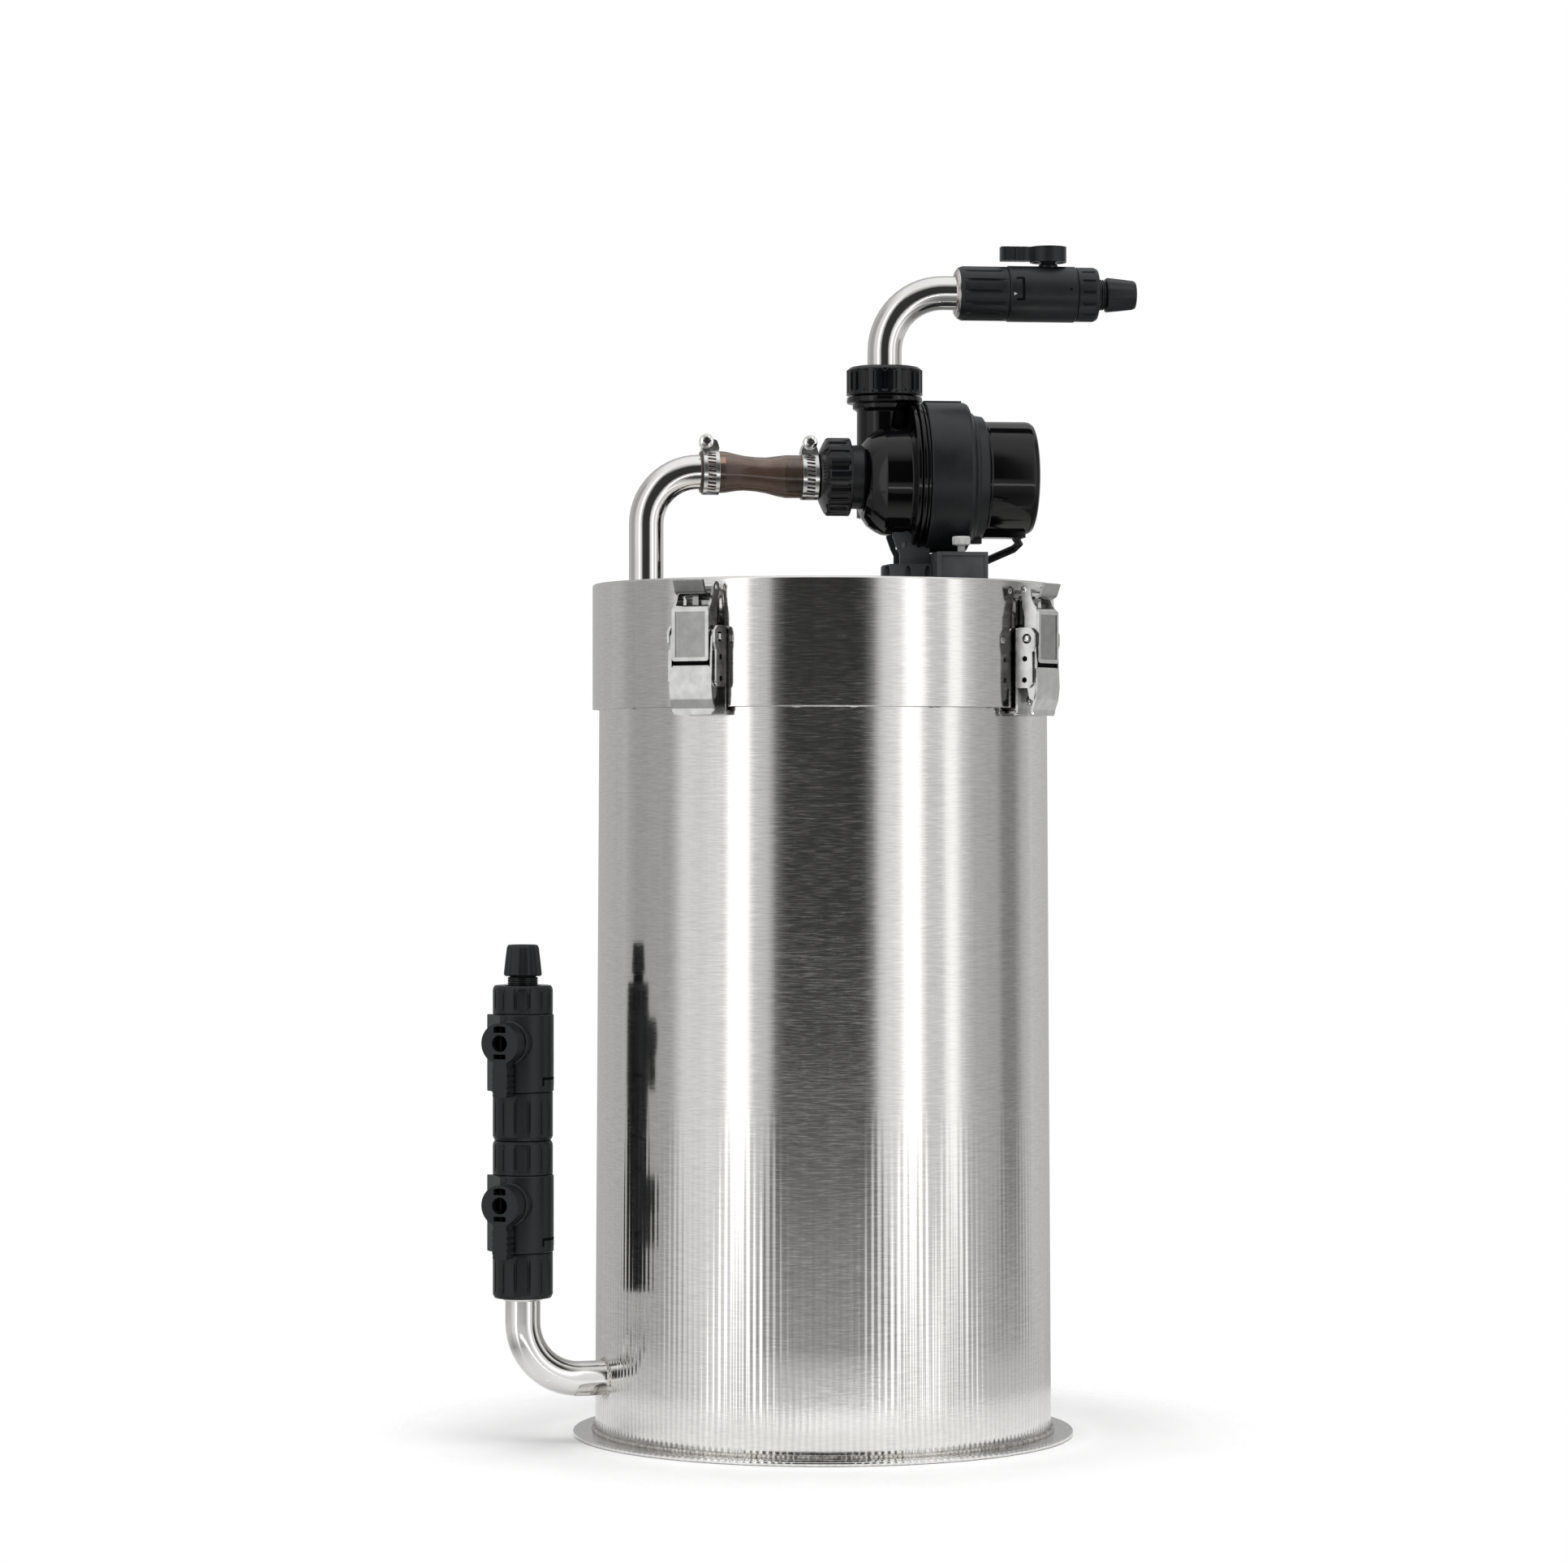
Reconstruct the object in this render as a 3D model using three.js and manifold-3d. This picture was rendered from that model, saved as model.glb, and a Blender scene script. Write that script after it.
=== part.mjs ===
// Canister filter: a stainless barrel with a deep clamp-down lid, a canned-rotor pump on the lid,
// a double shut-off tap on the inlet and a single one on the outlet.
// Millimetres, +Z up. The origin is the centre of the base's underside. -Y is the front.
import * as THREE from "three";
import { mergeVertices } from "three/addons/utils/BufferGeometryUtils.js";
import Module from "manifold-3d";

const wasm = await Module();
wasm.setup();

// ---------------------------------------------------------------- driving dimensions
const GAP = 0.3; // between pieces that touch
const ROUND = { large: 40, medium: 20, small: 14, tiny: 8 }; // sides of a round piece, by its size

const BARREL = { r: 125, wall: 1.2, top: 462, rim: 6, ledgeZ: 48, ledge: 12 };
const BASE = { r: 138.3, thick: 2.5 };
const LID = { r: 127.5, wall: 1.2, top: 469, plate: 2, skirtZ: 400 };
const PIPE = { r: 9.5, bore: 8.3, fit: 10.1 };

const INLET = { angle: 198, z: 35, reach: 171.8, bend: 32, stub: 115 };
const LINE = 7; // degrees that the pump and its pipes are turned on the lid
const OUTLET = { x: -98.3, z: 531.2, bend: 29, end: -55, foot: 452 };

const LATCH = { angles: [-120.5, -30.5, 59.5, 149.5], pivot: [135, 437], arm: 9, hook: [132, 463.5], hookR: 1.5 };

const PUMP = { z: 529, flangeR: 41.8, canR: 31.6, front: 8.8, flange: 47.6, body: 55.2, can: 83.3, back: 117.2 };
const NECK = { x: 36.4, y: 14, top: 578, elbowZ: 633, bend: 33 }; // the pump's outlet, pointing up

const CORD = { r: 2.25, ledge: 0.4, coil: [-24, 60], coilIn: 22, coilOut: 42.6 };

// ---------------------------------------------------------------- materials
const paint = (color, roughness, metalness) => new THREE.MeshStandardMaterial({ color, roughness, metalness });
const brushed = paint(0xb9bab5, 0.32, 1);
const polished = paint(0xd6d4d0, 0.12, 1);
const pressed = paint(0xc4c4c0, 0.25, 1);
const matte = paint(0x1b1e20, 0.55, 0);
const gloss = paint(0x0c0d0f, 0.12, 0);
const smoke = new THREE.MeshStandardMaterial({ color: 0x4a342b, roughness: 0.15, transparent: true, opacity: 0.7 });
const rubber = paint(0x1a1a1a, 0.8, 0);
const clear = paint(0xd9dad6, 0.3, 0);
const ceramic = paint(0xe6e0d2, 0.9, 0);
const sponge = paint(0x26303a, 1, 0);
const copper = paint(0x8a4a2c, 0.4, 0.6);

// ---------------------------------------------------------------- solids
// A closed geometry as a manifold-3d solid, with its faces pointing out.
function solidOf(geometry) {
  const bare = new THREE.BufferGeometry().setAttribute("position", geometry.getAttribute("position"));
  if (geometry.index) bare.setIndex(geometry.index);
  const merged = mergeVertices(bare, 1e-3);
  const corner = merged.index.array;
  const triangles = [];
  for (let i = 0; i < corner.length; i += 3) {
    const [a, b, c] = corner.slice(i, i + 3);
    if (a !== b && b !== c && c !== a) triangles.push(a, b, c);
  }
  const make = (list) => {
    const vertProperties = merged.attributes.position.array;
    return new wasm.Manifold(new wasm.Mesh({ numProp: 3, vertProperties, triVerts: Uint32Array.from(list) }));
  };
  const made = make(triangles);
  return made.volume() > 0 ? made : make(triangles.reverse());
}

function geometryOf(solid) {
  const { vertProperties, triVerts } = solid.getMesh();
  const position = new THREE.BufferAttribute(new Float32Array(vertProperties), 3);
  return new THREE.BufferGeometry().setAttribute("position", position).setIndex(Array.from(triVerts));
}

const join = (...pieces) => geometryOf(pieces.map(solidOf).reduce((all, piece) => all.add(piece)));
const cut = (from, ...tools) => geometryOf(tools.map(solidOf).reduce((left, tool) => left.subtract(tool), solidOf(from)));

// A piece turned about Z. The profile is [radius, height] points; one that is off the axis closes on itself.
function lathe(profile, sides = ROUND.medium) {
  const points = profile.map(([r, z]) => new THREE.Vector2(r, z));
  if (profile[0][0] > 0) points.push(points[0].clone());
  return geometryOf(solidOf(new THREE.LatheGeometry(points, sides).rotateX(Math.PI / 2)));
}

const ring = (inner, outer, z0, z1, sides) => lathe([[inner, z0], [outer, z0], [outer, z1], [inner, z1]], sides);
const rod = (r, z0, z1, sides) => lathe([[0, z0], [r, z0], [r, z1], [0, z1]], sides);

function box([x0, x1], [y0, y1], [z0, z1]) {
  return new THREE.BoxGeometry(x1 - x0, y1 - y0, z1 - z0).translate((x0 + x1) / 2, (y0 + y1) / 2, (z0 + z1) / 2);
}

// An outline in X and Z, carried along Y from y0 to y1.
function slab(outline, y0, y1) {
  const shape = new THREE.Shape(outline.map(([x, z]) => new THREE.Vector2(x, z)));
  return new THREE.ExtrudeGeometry(shape, { depth: y1 - y0, bevelEnabled: false }).rotateX(Math.PI / 2).translate(0, y1, 0);
}

const bothSides = (make, near, far) => [make(near, far), make(-far, -near)];
const alongX = (geometry) => geometry.rotateY(Math.PI / 2); // a piece on Z, laid along +X
const alongY = (geometry) => geometry.rotateX(-Math.PI / 2); // a piece on Z, laid along +Y
const moved = (geometry, x, y, z) => geometry.translate(x, y, z);

// Points on an arc about [x, z], from one angle to another in degrees.
function arc([x, z], r, from, to, steps) {
  return Array.from({ length: steps + 1 }, (_, i) => {
    const a = THREE.MathUtils.degToRad(from + ((to - from) * i) / steps);
    return [x + r * Math.cos(a), z + r * Math.sin(a)];
  });
}

// Two straight runs joined by a quarter bend in X and Z, with a station at each end of the bend.
class QuarterBend extends THREE.Curve {
  constructor(start, into, out, firstRun, bend, lastRun, bendSteps) {
    super();
    Object.assign(this, { start, into, out, firstRun, bend, lastRun, bendSteps });
    this.stations = bendSteps + 2;
  }
  turn(u) {
    return (THREE.MathUtils.clamp(u * this.stations - 1, 0, this.bendSteps) / this.bendSteps) * (Math.PI / 2);
  }
  getPointAt(u, target = new THREE.Vector3()) {
    const turn = this.turn(u);
    const first = u * this.stations < 1 ? u * this.stations * this.firstRun : this.firstRun;
    const last = Math.max(0, u * this.stations - 1 - this.bendSteps) * this.lastRun;
    return target
      .copy(this.start)
      .addScaledVector(this.into, first + this.bend * Math.sin(turn))
      .addScaledVector(this.out, last + this.bend * (1 - Math.cos(turn)));
  }
  getTangentAt(u, target = new THREE.Vector3()) {
    const turn = this.turn(u);
    return target.set(0, 0, 0).addScaledVector(this.into, Math.cos(turn)).addScaledVector(this.out, Math.sin(turn));
  }
}

function bentPipe(curve) {
  const shape = new THREE.Shape().absarc(0, 0, PIPE.r, 0, 2 * Math.PI);
  shape.holes.push(new THREE.Path().absarc(0, 0, PIPE.bore, 0, 2 * Math.PI, true));
  const settings = { steps: curve.stations, extrudePath: curve, bevelEnabled: false, curveSegments: ROUND.small / 2 };
  return new THREE.ExtrudeGeometry(shape, settings);
}

const root = new THREE.Group();
const line = new THREE.Group(); // the pump and its pipes, turned on the lid
line.rotation.z = THREE.MathUtils.degToRad(LINE);
root.add(line);

function group(parent, [x, y, z] = [0, 0, 0], turnZ = 0) {
  const made = new THREE.Group();
  made.position.set(x, y, z);
  made.rotation.z = THREE.MathUtils.degToRad(turnZ);
  parent.add(made);
  return made;
}

function piece(parent, name, geometry, material) {
  const mesh = new THREE.Mesh(geometry, material);
  mesh.name = name;
  parent.add(mesh);
}

// ---------------------------------------------------------------- barrel
const X = new THREE.Vector3(1, 0, 0);
const Z = new THREE.Vector3(0, 0, 1);

function buildBarrel() {
  const inside = BARREL.r - BARREL.wall;
  const foot = BASE.thick + GAP;
  const shell = lathe(
    [
      [BARREL.r, foot],
      [BARREL.r, BARREL.top],
      [BARREL.r - BARREL.rim, BARREL.top],
      [BARREL.r - BARREL.rim, BARREL.top - BARREL.wall],
      [inside, BARREL.top - BARREL.wall],
      [inside, BARREL.ledgeZ],
      [inside - BARREL.ledge, BARREL.ledgeZ],
      [inside, BARREL.ledgeZ - 3],
      [inside, foot],
    ],
    ROUND.large,
  );
  const inletTurn = THREE.MathUtils.degToRad(INLET.angle);
  const hole = moved(alongX(rod(PIPE.fit, 100, 140, ROUND.small)), 0, 0, INLET.z).rotateZ(inletTurn);
  piece(root, "barrel_shell", cut(shell, hole), brushed);
  piece(root, "base_plate", rod(BASE.r, 0, BASE.thick, ROUND.large), brushed);

  const inlet = group(root, [0, 0, INLET.z], INLET.angle);
  const start = new THREE.Vector3(INLET.stub, 0, 0);
  const run = INLET.reach - INLET.bend - INLET.stub;
  piece(inlet, "inlet_elbow", bentPipe(new QuarterBend(start, X, Z, run, INLET.bend, 30, 6)), polished);
}

// ---------------------------------------------------------------- media baskets
const BASKET = { r: 115, wall: 2, floor: 2.5, tall: 190, lowZ: BARREL.ledgeZ + 2.5 };

function basketCup(z) {
  const inside = BASKET.r - BASKET.wall;
  const cup = lathe(
    [
      [0, z],
      [BASKET.r, z],
      [BASKET.r, z + BASKET.tall],
      [inside, z + BASKET.tall],
      [inside, z + BASKET.floor],
      [0, z + BASKET.floor],
    ],
    ROUND.medium,
  );
  const holes = [];
  for (const [radius, count] of [[38, 5], [86, 9]]) {
    for (let i = 0; i < count; i++) {
      const a = (2 * Math.PI * i) / count;
      holes.push(moved(rod(14, z - 1, z + BASKET.floor + 1, 6), radius * Math.cos(a), radius * Math.sin(a), 0));
    }
  }
  return cut(cup, ...holes);
}

// The bail of the upper basket: a bow on two posts, on a strap that rests across the sponge.
function basketHandle(top, strapZ) {
  const bow = slab([...arc([0, top - 14], 40, 150, 30, 6), ...arc([0, top - 14], 34, 30, 150, 6)], -4, 4);
  const strap = box([-75, 75], [-4, 4], [strapZ, strapZ + 3]);
  return join(bow, strap, ...[-34.5, 30.5].map((x) => box([x, x + 4], [-4, 4], [strapZ + 1, top + 6])));
}

function buildMedia() {
  const upperZ = BASKET.lowZ + BASKET.tall + GAP;
  const headroom = 30;
  const fill = BASKET.r - BASKET.wall - 1;
  piece(root, "lower_basket", basketCup(BASKET.lowZ), matte);
  piece(root, "upper_basket", basketCup(upperZ), matte);
  piece(root, "basket_handle", basketHandle(upperZ + BASKET.tall, upperZ + BASKET.tall - headroom + GAP), matte);
  const lowFill = rod(fill, BASKET.lowZ + BASKET.floor + GAP, BASKET.lowZ + BASKET.tall - 2, ROUND.medium);
  piece(root, "ceramic_media", lowFill, ceramic);
  const highFill = rod(fill, upperZ + BASKET.floor + GAP, upperZ + BASKET.tall - headroom, ROUND.medium);
  piece(root, "sponge_media", highFill, sponge);
}

// ---------------------------------------------------------------- lid
function buildLid() {
  const under = LID.top - LID.plate;
  const cap = lathe(
    [
      [0, under],
      [LID.r - LID.wall, under],
      [LID.r - LID.wall, LID.skirtZ],
      [LID.r, LID.skirtZ],
      [LID.r, LID.top],
      [0, LID.top],
    ],
    ROUND.large,
  );
  const hole = moved(rod(PIPE.fit, under - 1, LID.top + 1, ROUND.small), OUTLET.x, 0, 0).rotateZ(line.rotation.z);
  piece(root, "lid", cut(cap, hole), brushed);
  piece(root, "lid_gasket", ring(BARREL.r - BARREL.rim + 0.5, BARREL.r, BARREL.top + GAP, under - GAP), rubber);

  const start = new THREE.Vector3(OUTLET.x, 0, OUTLET.foot);
  const rise = OUTLET.z - OUTLET.bend - OUTLET.foot;
  const run = OUTLET.end - OUTLET.x - OUTLET.bend;
  piece(line, "lid_elbow", bentPipe(new QuarterBend(start, Z, X, rise, OUTLET.bend, run, 6)), polished);
}

// ---------------------------------------------------------------- draw latches
// In a latch's own frame +X points out of the barrel, Y runs across the latch and Z is up.
function latchBase(turn) {
  const [px, pz] = LATCH.pivot;
  const cheek = (near, far) =>
    slab([[129.6, 411], [137.5, 411], [138.5, 433], ...arc([px, pz], 5, 0, 90, 4), [129.6, 443]], near, far);
  const rivet = (near, far) => moved(alongY(rod(1.8, near, far, ROUND.tiny)), px, 0, pz);
  const head = (near, far) => moved(alongY(rod(2.8, near, far, ROUND.tiny)), px, 0, pz);
  const back = box([128.3, 129.8], [-15, 15], [395.5, 443]);
  const foot = box([121, 128.6], [-15, 15], [395.5, 399.2]);
  const barrel = rod(BARREL.r + GAP, 380, 410, ROUND.large).rotateZ(-THREE.MathUtils.degToRad(turn));
  const hollow = cut(join(back, foot), barrel);
  return join(hollow, ...bothSides(cheek, 13.5, 15), ...bothSides(rivet, 11.8, 15.5), ...bothSides(head, 14.8, 15.9));
}

function latchLever() {
  const [px, pz] = LATCH.pivot;
  const side = (near, far) =>
    slab([...arc([px, pz], 4.3, 0, 180, 6), [131.5, 424], [136.5, 404], [138.9, 404], [139.3, 408]], near, far);
  const face = slab(
    [[139.2, 422], [139.2, 408], [138.4, 402.4], [136, 397], [137.2, 396.5], [139.6, 402], [140.4, 408], [140.4, 422]],
    -13.1,
    13.1,
  );
  const pin = (near, far) => moved(alongY(rod(1.5, near, far, ROUND.tiny)), px, 0, pz - LATCH.arm);
  const bore = moved(alongY(rod(2.1, -20, 20, ROUND.tiny)), px, 0, pz);
  return cut(join(face, ...bothSides(side, 11.9, 13.1), ...bothSides(pin, 9.8, 12)), bore);
}

function latchClaw() {
  const [px, pz] = LATCH.pivot;
  const [hx, hz] = LATCH.hook;
  const arm = (near, far) =>
    slab(
      [
        [131.8, 425.5],
        [139.4, 424.6],
        [139.4, 452],
        [137, 456],
        [134.6, 462.5],
        ...arc([hx, hz], 2.9, 10, 170, 4),
        [130.2, 458.5],
        [131.8, 449],
      ],
      near,
      far,
    );
  const panel = box([139.3, 140.5], [-11.4, 11.4], [424.4, 452]);
  const hook = moved(alongY(rod(LATCH.hookR, -10.5, 10.5, ROUND.tiny)), hx, 0, hz);
  const bore = moved(alongY(rod(1.8, -20, 20, ROUND.tiny)), px, 0, pz - LATCH.arm);
  return cut(join(panel, ...bothSides(arm, 10, 11.4), hook), bore);
}

// The cup that the claw's bar rests in. It is an arc about the bar's path, so that the bar rides up and out of it.
function latchStrike() {
  const [hx, hz] = LATCH.hook;
  const centre = [hx, hz + LATCH.arm];
  const top = LATCH.arm + LATCH.hookR + GAP;
  const bottom = top + 1.3;
  const fromPlate = (r, x) => -90 - THREE.MathUtils.radToDeg(Math.asin((hx - x) / r));
  return slab(
    [
      [127.8, 444.5],
      [129.3, 444.5],
      ...arc(centre, bottom, fromPlate(bottom, 129.3), -42, 6),
      ...arc(centre, top, -42, fromPlate(top, 127.8), 6),
    ],
    -9.3,
    9.3,
  );
}

function buildLatches() {
  for (const [i, turn] of LATCH.angles.entries()) {
    const latch = group(root, [0, 0, 0], turn);
    const which = ["front_left", "front_right", "rear_right", "rear_left"][i];
    piece(latch, `latch_base_${which}`, latchBase(turn), pressed);
    piece(latch, `latch_lever_${which}`, latchLever(), pressed);
    piece(latch, `latch_claw_${which}`, latchClaw(), pressed);
    piece(latch, `latch_strike_${which}`, latchStrike(), pressed);
  }
}

// ---------------------------------------------------------------- hose between lid and pump
const HOSE = { from: -68.7, to: -3.5 };

// The hose drops from the lid's pipe to the pump's inlet between the two pipe ends.
function sag(geometry) {
  const position = geometry.getAttribute("position");
  for (let i = 0; i < position.count; i++) {
    const along = THREE.MathUtils.smoothstep(position.getX(i), OUTLET.end, -20);
    position.setZ(i, position.getZ(i) + THREE.MathUtils.lerp(OUTLET.z, PUMP.z, along));
  }
  return geometry;
}

function hoseClamp(x, hoseR) {
  const screwZ = hoseR + 5;
  const band = alongX(ring(hoseR + 0.3, hoseR + 1.1, -4.6, 4.6));
  const housing = box([-4.6, 4.6], [-5, 6], [hoseR + 0.8, hoseR + 6]);
  const screw = moved(alongY(rod(3.9, -9, -4.8, ROUND.tiny)), 0, 0, screwZ);
  return join(band, housing, screw).translate(x, 0, 0);
}

function buildHose() {
  const profile = [
    [11.7, HOSE.from], [11.5, OUTLET.end], [10.2, -44], [10, -32], [11.8, -20.5], [12, HOSE.to],
    [10.4, HOSE.to], [10.4, -20.2], [8.5, -32], [8.7, -44], [10.1, OUTLET.end + 0.5], [10.1, HOSE.from],
  ];
  piece(line, "coupling_hose", sag(alongX(lathe(profile, ROUND.medium))), smoke);
  piece(line, "hose_clamp_left", moved(hoseClamp(-62.9, 11.7), 0, 0, OUTLET.z), pressed);
  piece(line, "hose_clamp_right", moved(hoseClamp(-7.9, 12), 0, 0, PUMP.z), pressed);
}

// ---------------------------------------------------------------- pump, on the X axis of its own group
function unionNut(z0, z1, r, hole, cavityR, roof, ribs) {
  const shape = new THREE.Shape();
  const steps = ribs * 4;
  for (let i = 0; i < steps; i++) {
    const a = (2 * Math.PI * i) / steps;
    const at = i % 4 < 2 ? r : r - 0.9;
    if (i === 0) shape.moveTo(at, 0);
    else shape.lineTo(at * Math.cos(a), at * Math.sin(a));
  }
  const outside = moved(new THREE.ExtrudeGeometry(shape, { depth: z1 - z0, bevelEnabled: false }), 0, 0, z0);
  return cut(outside, rod(hole, z0 - 1, z1 + 1), rod(cavityR, z0 - 1, z1 - roof));
}

function buildPump() {
  const pump = group(line, [0, 0, PUMP.z]);
  const neckTop = NECK.top - PUMP.z;

  const tail = [[7.5, -20], [9.9, -20], [9.9, 4.9], [16, 4.9], [16, PUMP.front - GAP], [7.5, PUMP.front - GAP]];
  piece(pump, "pump_inlet_tail", alongX(lathe(tail)), matte);
  const inletNut = unionNut(-14.3, 3, 21.6, 10.4, 18.3, 7.3, 10).rotateX(Math.PI);
  piece(pump, "inlet_union_nut", alongX(inletNut), matte);

  // Volute: inlet neck, rounded front and flange round the impeller's room, with the outlet tube on its back half.
  const volute = alongX(
    lathe([
      [8, PUMP.front], [18, PUMP.front], [18, 20.5], [28, 28.4], [30.2, 32], [30.2, PUMP.flange],
      [PUMP.flangeR, PUMP.flange], [PUMP.flangeR, PUMP.body - GAP], [24, PUMP.body - GAP], [24, 33], [8, 33],
    ]),
  );
  const rim = rod(20.8, 571 - PUMP.z, 575 - PUMP.z, ROUND.medium);
  const tube = moved(join(rod(15, 5, 39, ROUND.medium), rod(17.8, 37, neckTop, ROUND.medium), rim), NECK.x, NECK.y, 0);
  const bore = moved(rod(9, 4, neckTop + 1, ROUND.small), NECK.x + 7, NECK.y, 0);
  const inletWay = alongX(rod(8, PUMP.front - 1, 33, ROUND.small));
  const room = alongX(rod(24, 32.5, PUMP.body + 5));
  piece(pump, "volute_housing", cut(join(volute, tube), inletWay, room, bore), gloss);

  // Pump body: the drum behind the flange, with the thin can that keeps the rotor wet and the stator dry.
  const drum = alongX(
    lathe([
      [13, PUMP.body], [PUMP.flangeR, PUMP.body], [PUMP.flangeR, 78.7], [34.6, PUMP.can], [34.6, 88.8],
      [28, 88.8], [28, 61], [14.2, 61], [14.2, 103.5], [0, 103.5], [0, 102.3], [2.3, 102.3], [2.3, 99.5], [13, 99.5],
    ]),
  );
  piece(pump, "pump_body", drum, matte);

  const can = [
    [28.4, 89.1], [PUMP.canR, 89.1], [PUMP.canR, 114.4], [28.6, PUMP.back], [0, PUMP.back], [0, 113.6], [28.4, 113.6],
  ];
  piece(pump, "motor_can", alongX(lathe(can)), gloss);
  piece(pump, "stator", alongX(ring(14.6, 27.4, 63, 107)), copper);

  // The rotor turns in the can on its own shaft.
  const rotor = alongX(
    lathe([
      [0, 33.7], [2, 33.7], [2, 37.8], [20, 37.8], [20, 40.3], [6.5, 40.3], [4.5, 52.8], [12.2, 55.8], [12.2, 95.5],
      [2, 95.5], [2, 101.9], [0, 101.9],
    ]),
  );
  const blades = Array.from({ length: 5 }, (_, i) => box([39.8, 49.8], [5, 19], [-0.8, 0.8]).rotateX((i * Math.PI) / 2.5));
  piece(pump, "impeller", join(rotor, ...blades), matte);
  const outletNut = unionNut(575.3 - PUMP.z, 591.7 - PUMP.z, 21.2, 10.1, 18.1, 5.5, 10);
  piece(pump, "outlet_union_nut", moved(outletNut, NECK.x, NECK.y, 0), matte);
}

function buildPumpFoot() {
  const floor = LID.top + GAP;
  const round = (r, x0, x1) => moved(alongX(rod(r, x0, x1)), 0, 0, PUMP.z);
  const foot = join(
    box([34.7, 57.8], [-20, 20], [floor, 480.4]),
    slab([[42, 480], [57.8, 480], [57.8, 499], [46, 499], [42, 486]], -13, 13),
  );
  const clearance = [round(31, 30, 70), round(PUMP.flangeR + 0.4, PUMP.flange - 0.4, 70)];
  piece(line, "pump_foot", cut(foot, ...clearance), matte);

  const screw = { x: 72.1, y: -33.6, hole: 2.6 };
  const block = box([58.1, 86.4], [-39, 39], [floor, 486.3]);
  const hole = moved(rod(screw.hole, 476, 490, ROUND.tiny), screw.x, screw.y, 0);
  piece(line, "foot_block", cut(block, hole), matte);
  const thumb = lathe([[0, 478], [2, 478], [2, 489.6], [4.9, 490], [4.9, 494.6], [0, 495]], ROUND.small);
  piece(line, "thumb_screw", moved(thumb, screw.x, screw.y, 0), clear);
}

// ---------------------------------------------------------------- taps
// A tap lies on Z in its own frame, with the pipe's side at z 0 and its handle towards +X.
function tapSizes(scale, arm, lengths) {
  const [collar, body, end] = lengths;
  return { collarR: 16.3 * scale, bodyR: 16.8 * scale, knobR: 11 * scale, ballR: 8.5, arm, collar, body, end };
}

function buildTap(tap, name, size, knobZ) {
  const bodyZ = size.collar + GAP;
  const endZ = bodyZ + size.body + GAP;
  const reach = size.bodyR + 2;
  piece(tap, `${name}_collar`, ring(PIPE.fit, size.collarR, 0, size.collar), matte);

  const ball = (r) => moved(new THREE.SphereGeometry(r, 14, 6).rotateZ(Math.PI / 2), 0, 0, knobZ);
  const stem = (r, x0, x1, sides) => moved(alongX(rod(r, x0, x1, sides)), 0, 0, knobZ);
  const shell = ring(6, size.bodyR, bodyZ, bodyZ + size.body, ROUND.medium);
  piece(tap, `${name}_body`, cut(shell, ball(size.ballR + 0.4), stem(4.3, 0, size.bodyR + 1, ROUND.small)), matte);

  const knob = stem(size.knobR, reach, reach + 8.8, ROUND.small);
  const lever = box([reach + 0.8, reach + 8.8], [-4.2, 4.2], [knobZ - size.arm, knobZ]);
  const way = rod(4.5, knobZ - 12, knobZ + 12, ROUND.tiny);
  const handle = join(cut(join(ball(size.ballR), stem(4, 5, reach + 1, ROUND.small)), way), knob, lever);
  piece(tap, `${name}_handle`, handle, matte);
  return endZ;
}

// The last collar of a run, with the threaded neck and the hose's nipple, and the tapered nut on it.
function buildHoseEnd(tap, name, size, endZ) {
  const neck = endZ + size.end;
  const end = [
    [4.3, endZ], [size.collarR, endZ], [size.collarR, neck], [8, neck], [8, neck + 4.5], [6.9, neck + 4.8],
    [5.5, neck + 18], [4.3, neck + 18],
  ];
  piece(tap, `${name}_end_collar`, lathe(end), matte);
  const wide = size.collarR * 0.645;
  const nut = [[7.3, neck + 5.1], [wide, neck + 5.1], [wide * 0.84, neck + 22], [7.3, neck + 22]];
  piece(tap, `${name}_hose_nut`, lathe(nut, ROUND.small), matte);
}

function buildTaps() {
  const inletTurn = THREE.MathUtils.degToRad(INLET.angle);
  const [vx, vy] = [INLET.reach * Math.cos(inletTurn), INLET.reach * Math.sin(inletTurn)];
  const handleAngle = -114;
  const size = tapSizes(1, 29, [24.7, 41.8, 18.2]);
  const lower = group(root, [vx, vy, 80.3], handleAngle);
  const endZ = buildTap(lower, "lower_tap", size, 51.7);
  piece(lower, "lower_tap_end_collar", ring(6, size.collarR, endZ, endZ + size.end), matte);

  const upperSize = tapSizes(1, 29, [26, 42, 15.2]);
  const upper = group(root, [vx, vy, 80.3 + endZ + size.end + GAP], handleAngle);
  buildHoseEnd(upper, "upper_tap", upperSize, buildTap(upper, "upper_tap", upperSize, 53.4));

  // The outlet: its elbow stands in the pump's union and turns there.
  const start = new THREE.Vector3(NECK.x, NECK.y, NECK.top + 0.6);
  const rise = NECK.elbowZ - NECK.bend - start.z;
  const elbow = bentPipe(new QuarterBend(start, Z, X, rise, NECK.bend, 30, 6));
  const seat = moved(ring(8.6, 16, NECK.top + GAP, NECK.top + 4), NECK.x, NECK.y, 0);
  piece(line, "outlet_elbow", join(elbow, seat), polished);

  const outlet = new THREE.Group();
  outlet.position.set(77.6, NECK.y, NECK.elbowZ);
  outlet.rotation.set(Math.PI, -Math.PI / 2, 0, "YXZ"); // flow along +X, handle up
  line.add(outlet);
  const outletSize = tapSizes(0.93, 27, [27.4, 38.5, 12]);
  buildHoseEnd(outlet, "outlet_tap", outletSize, buildTap(outlet, "outlet_tap", outletSize, 51.3));
}

// ---------------------------------------------------------------- lead
const LEAD_Z = LID.top + CORD.ledge + CORD.r; // the lead's centre where it lies on the lid

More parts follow.
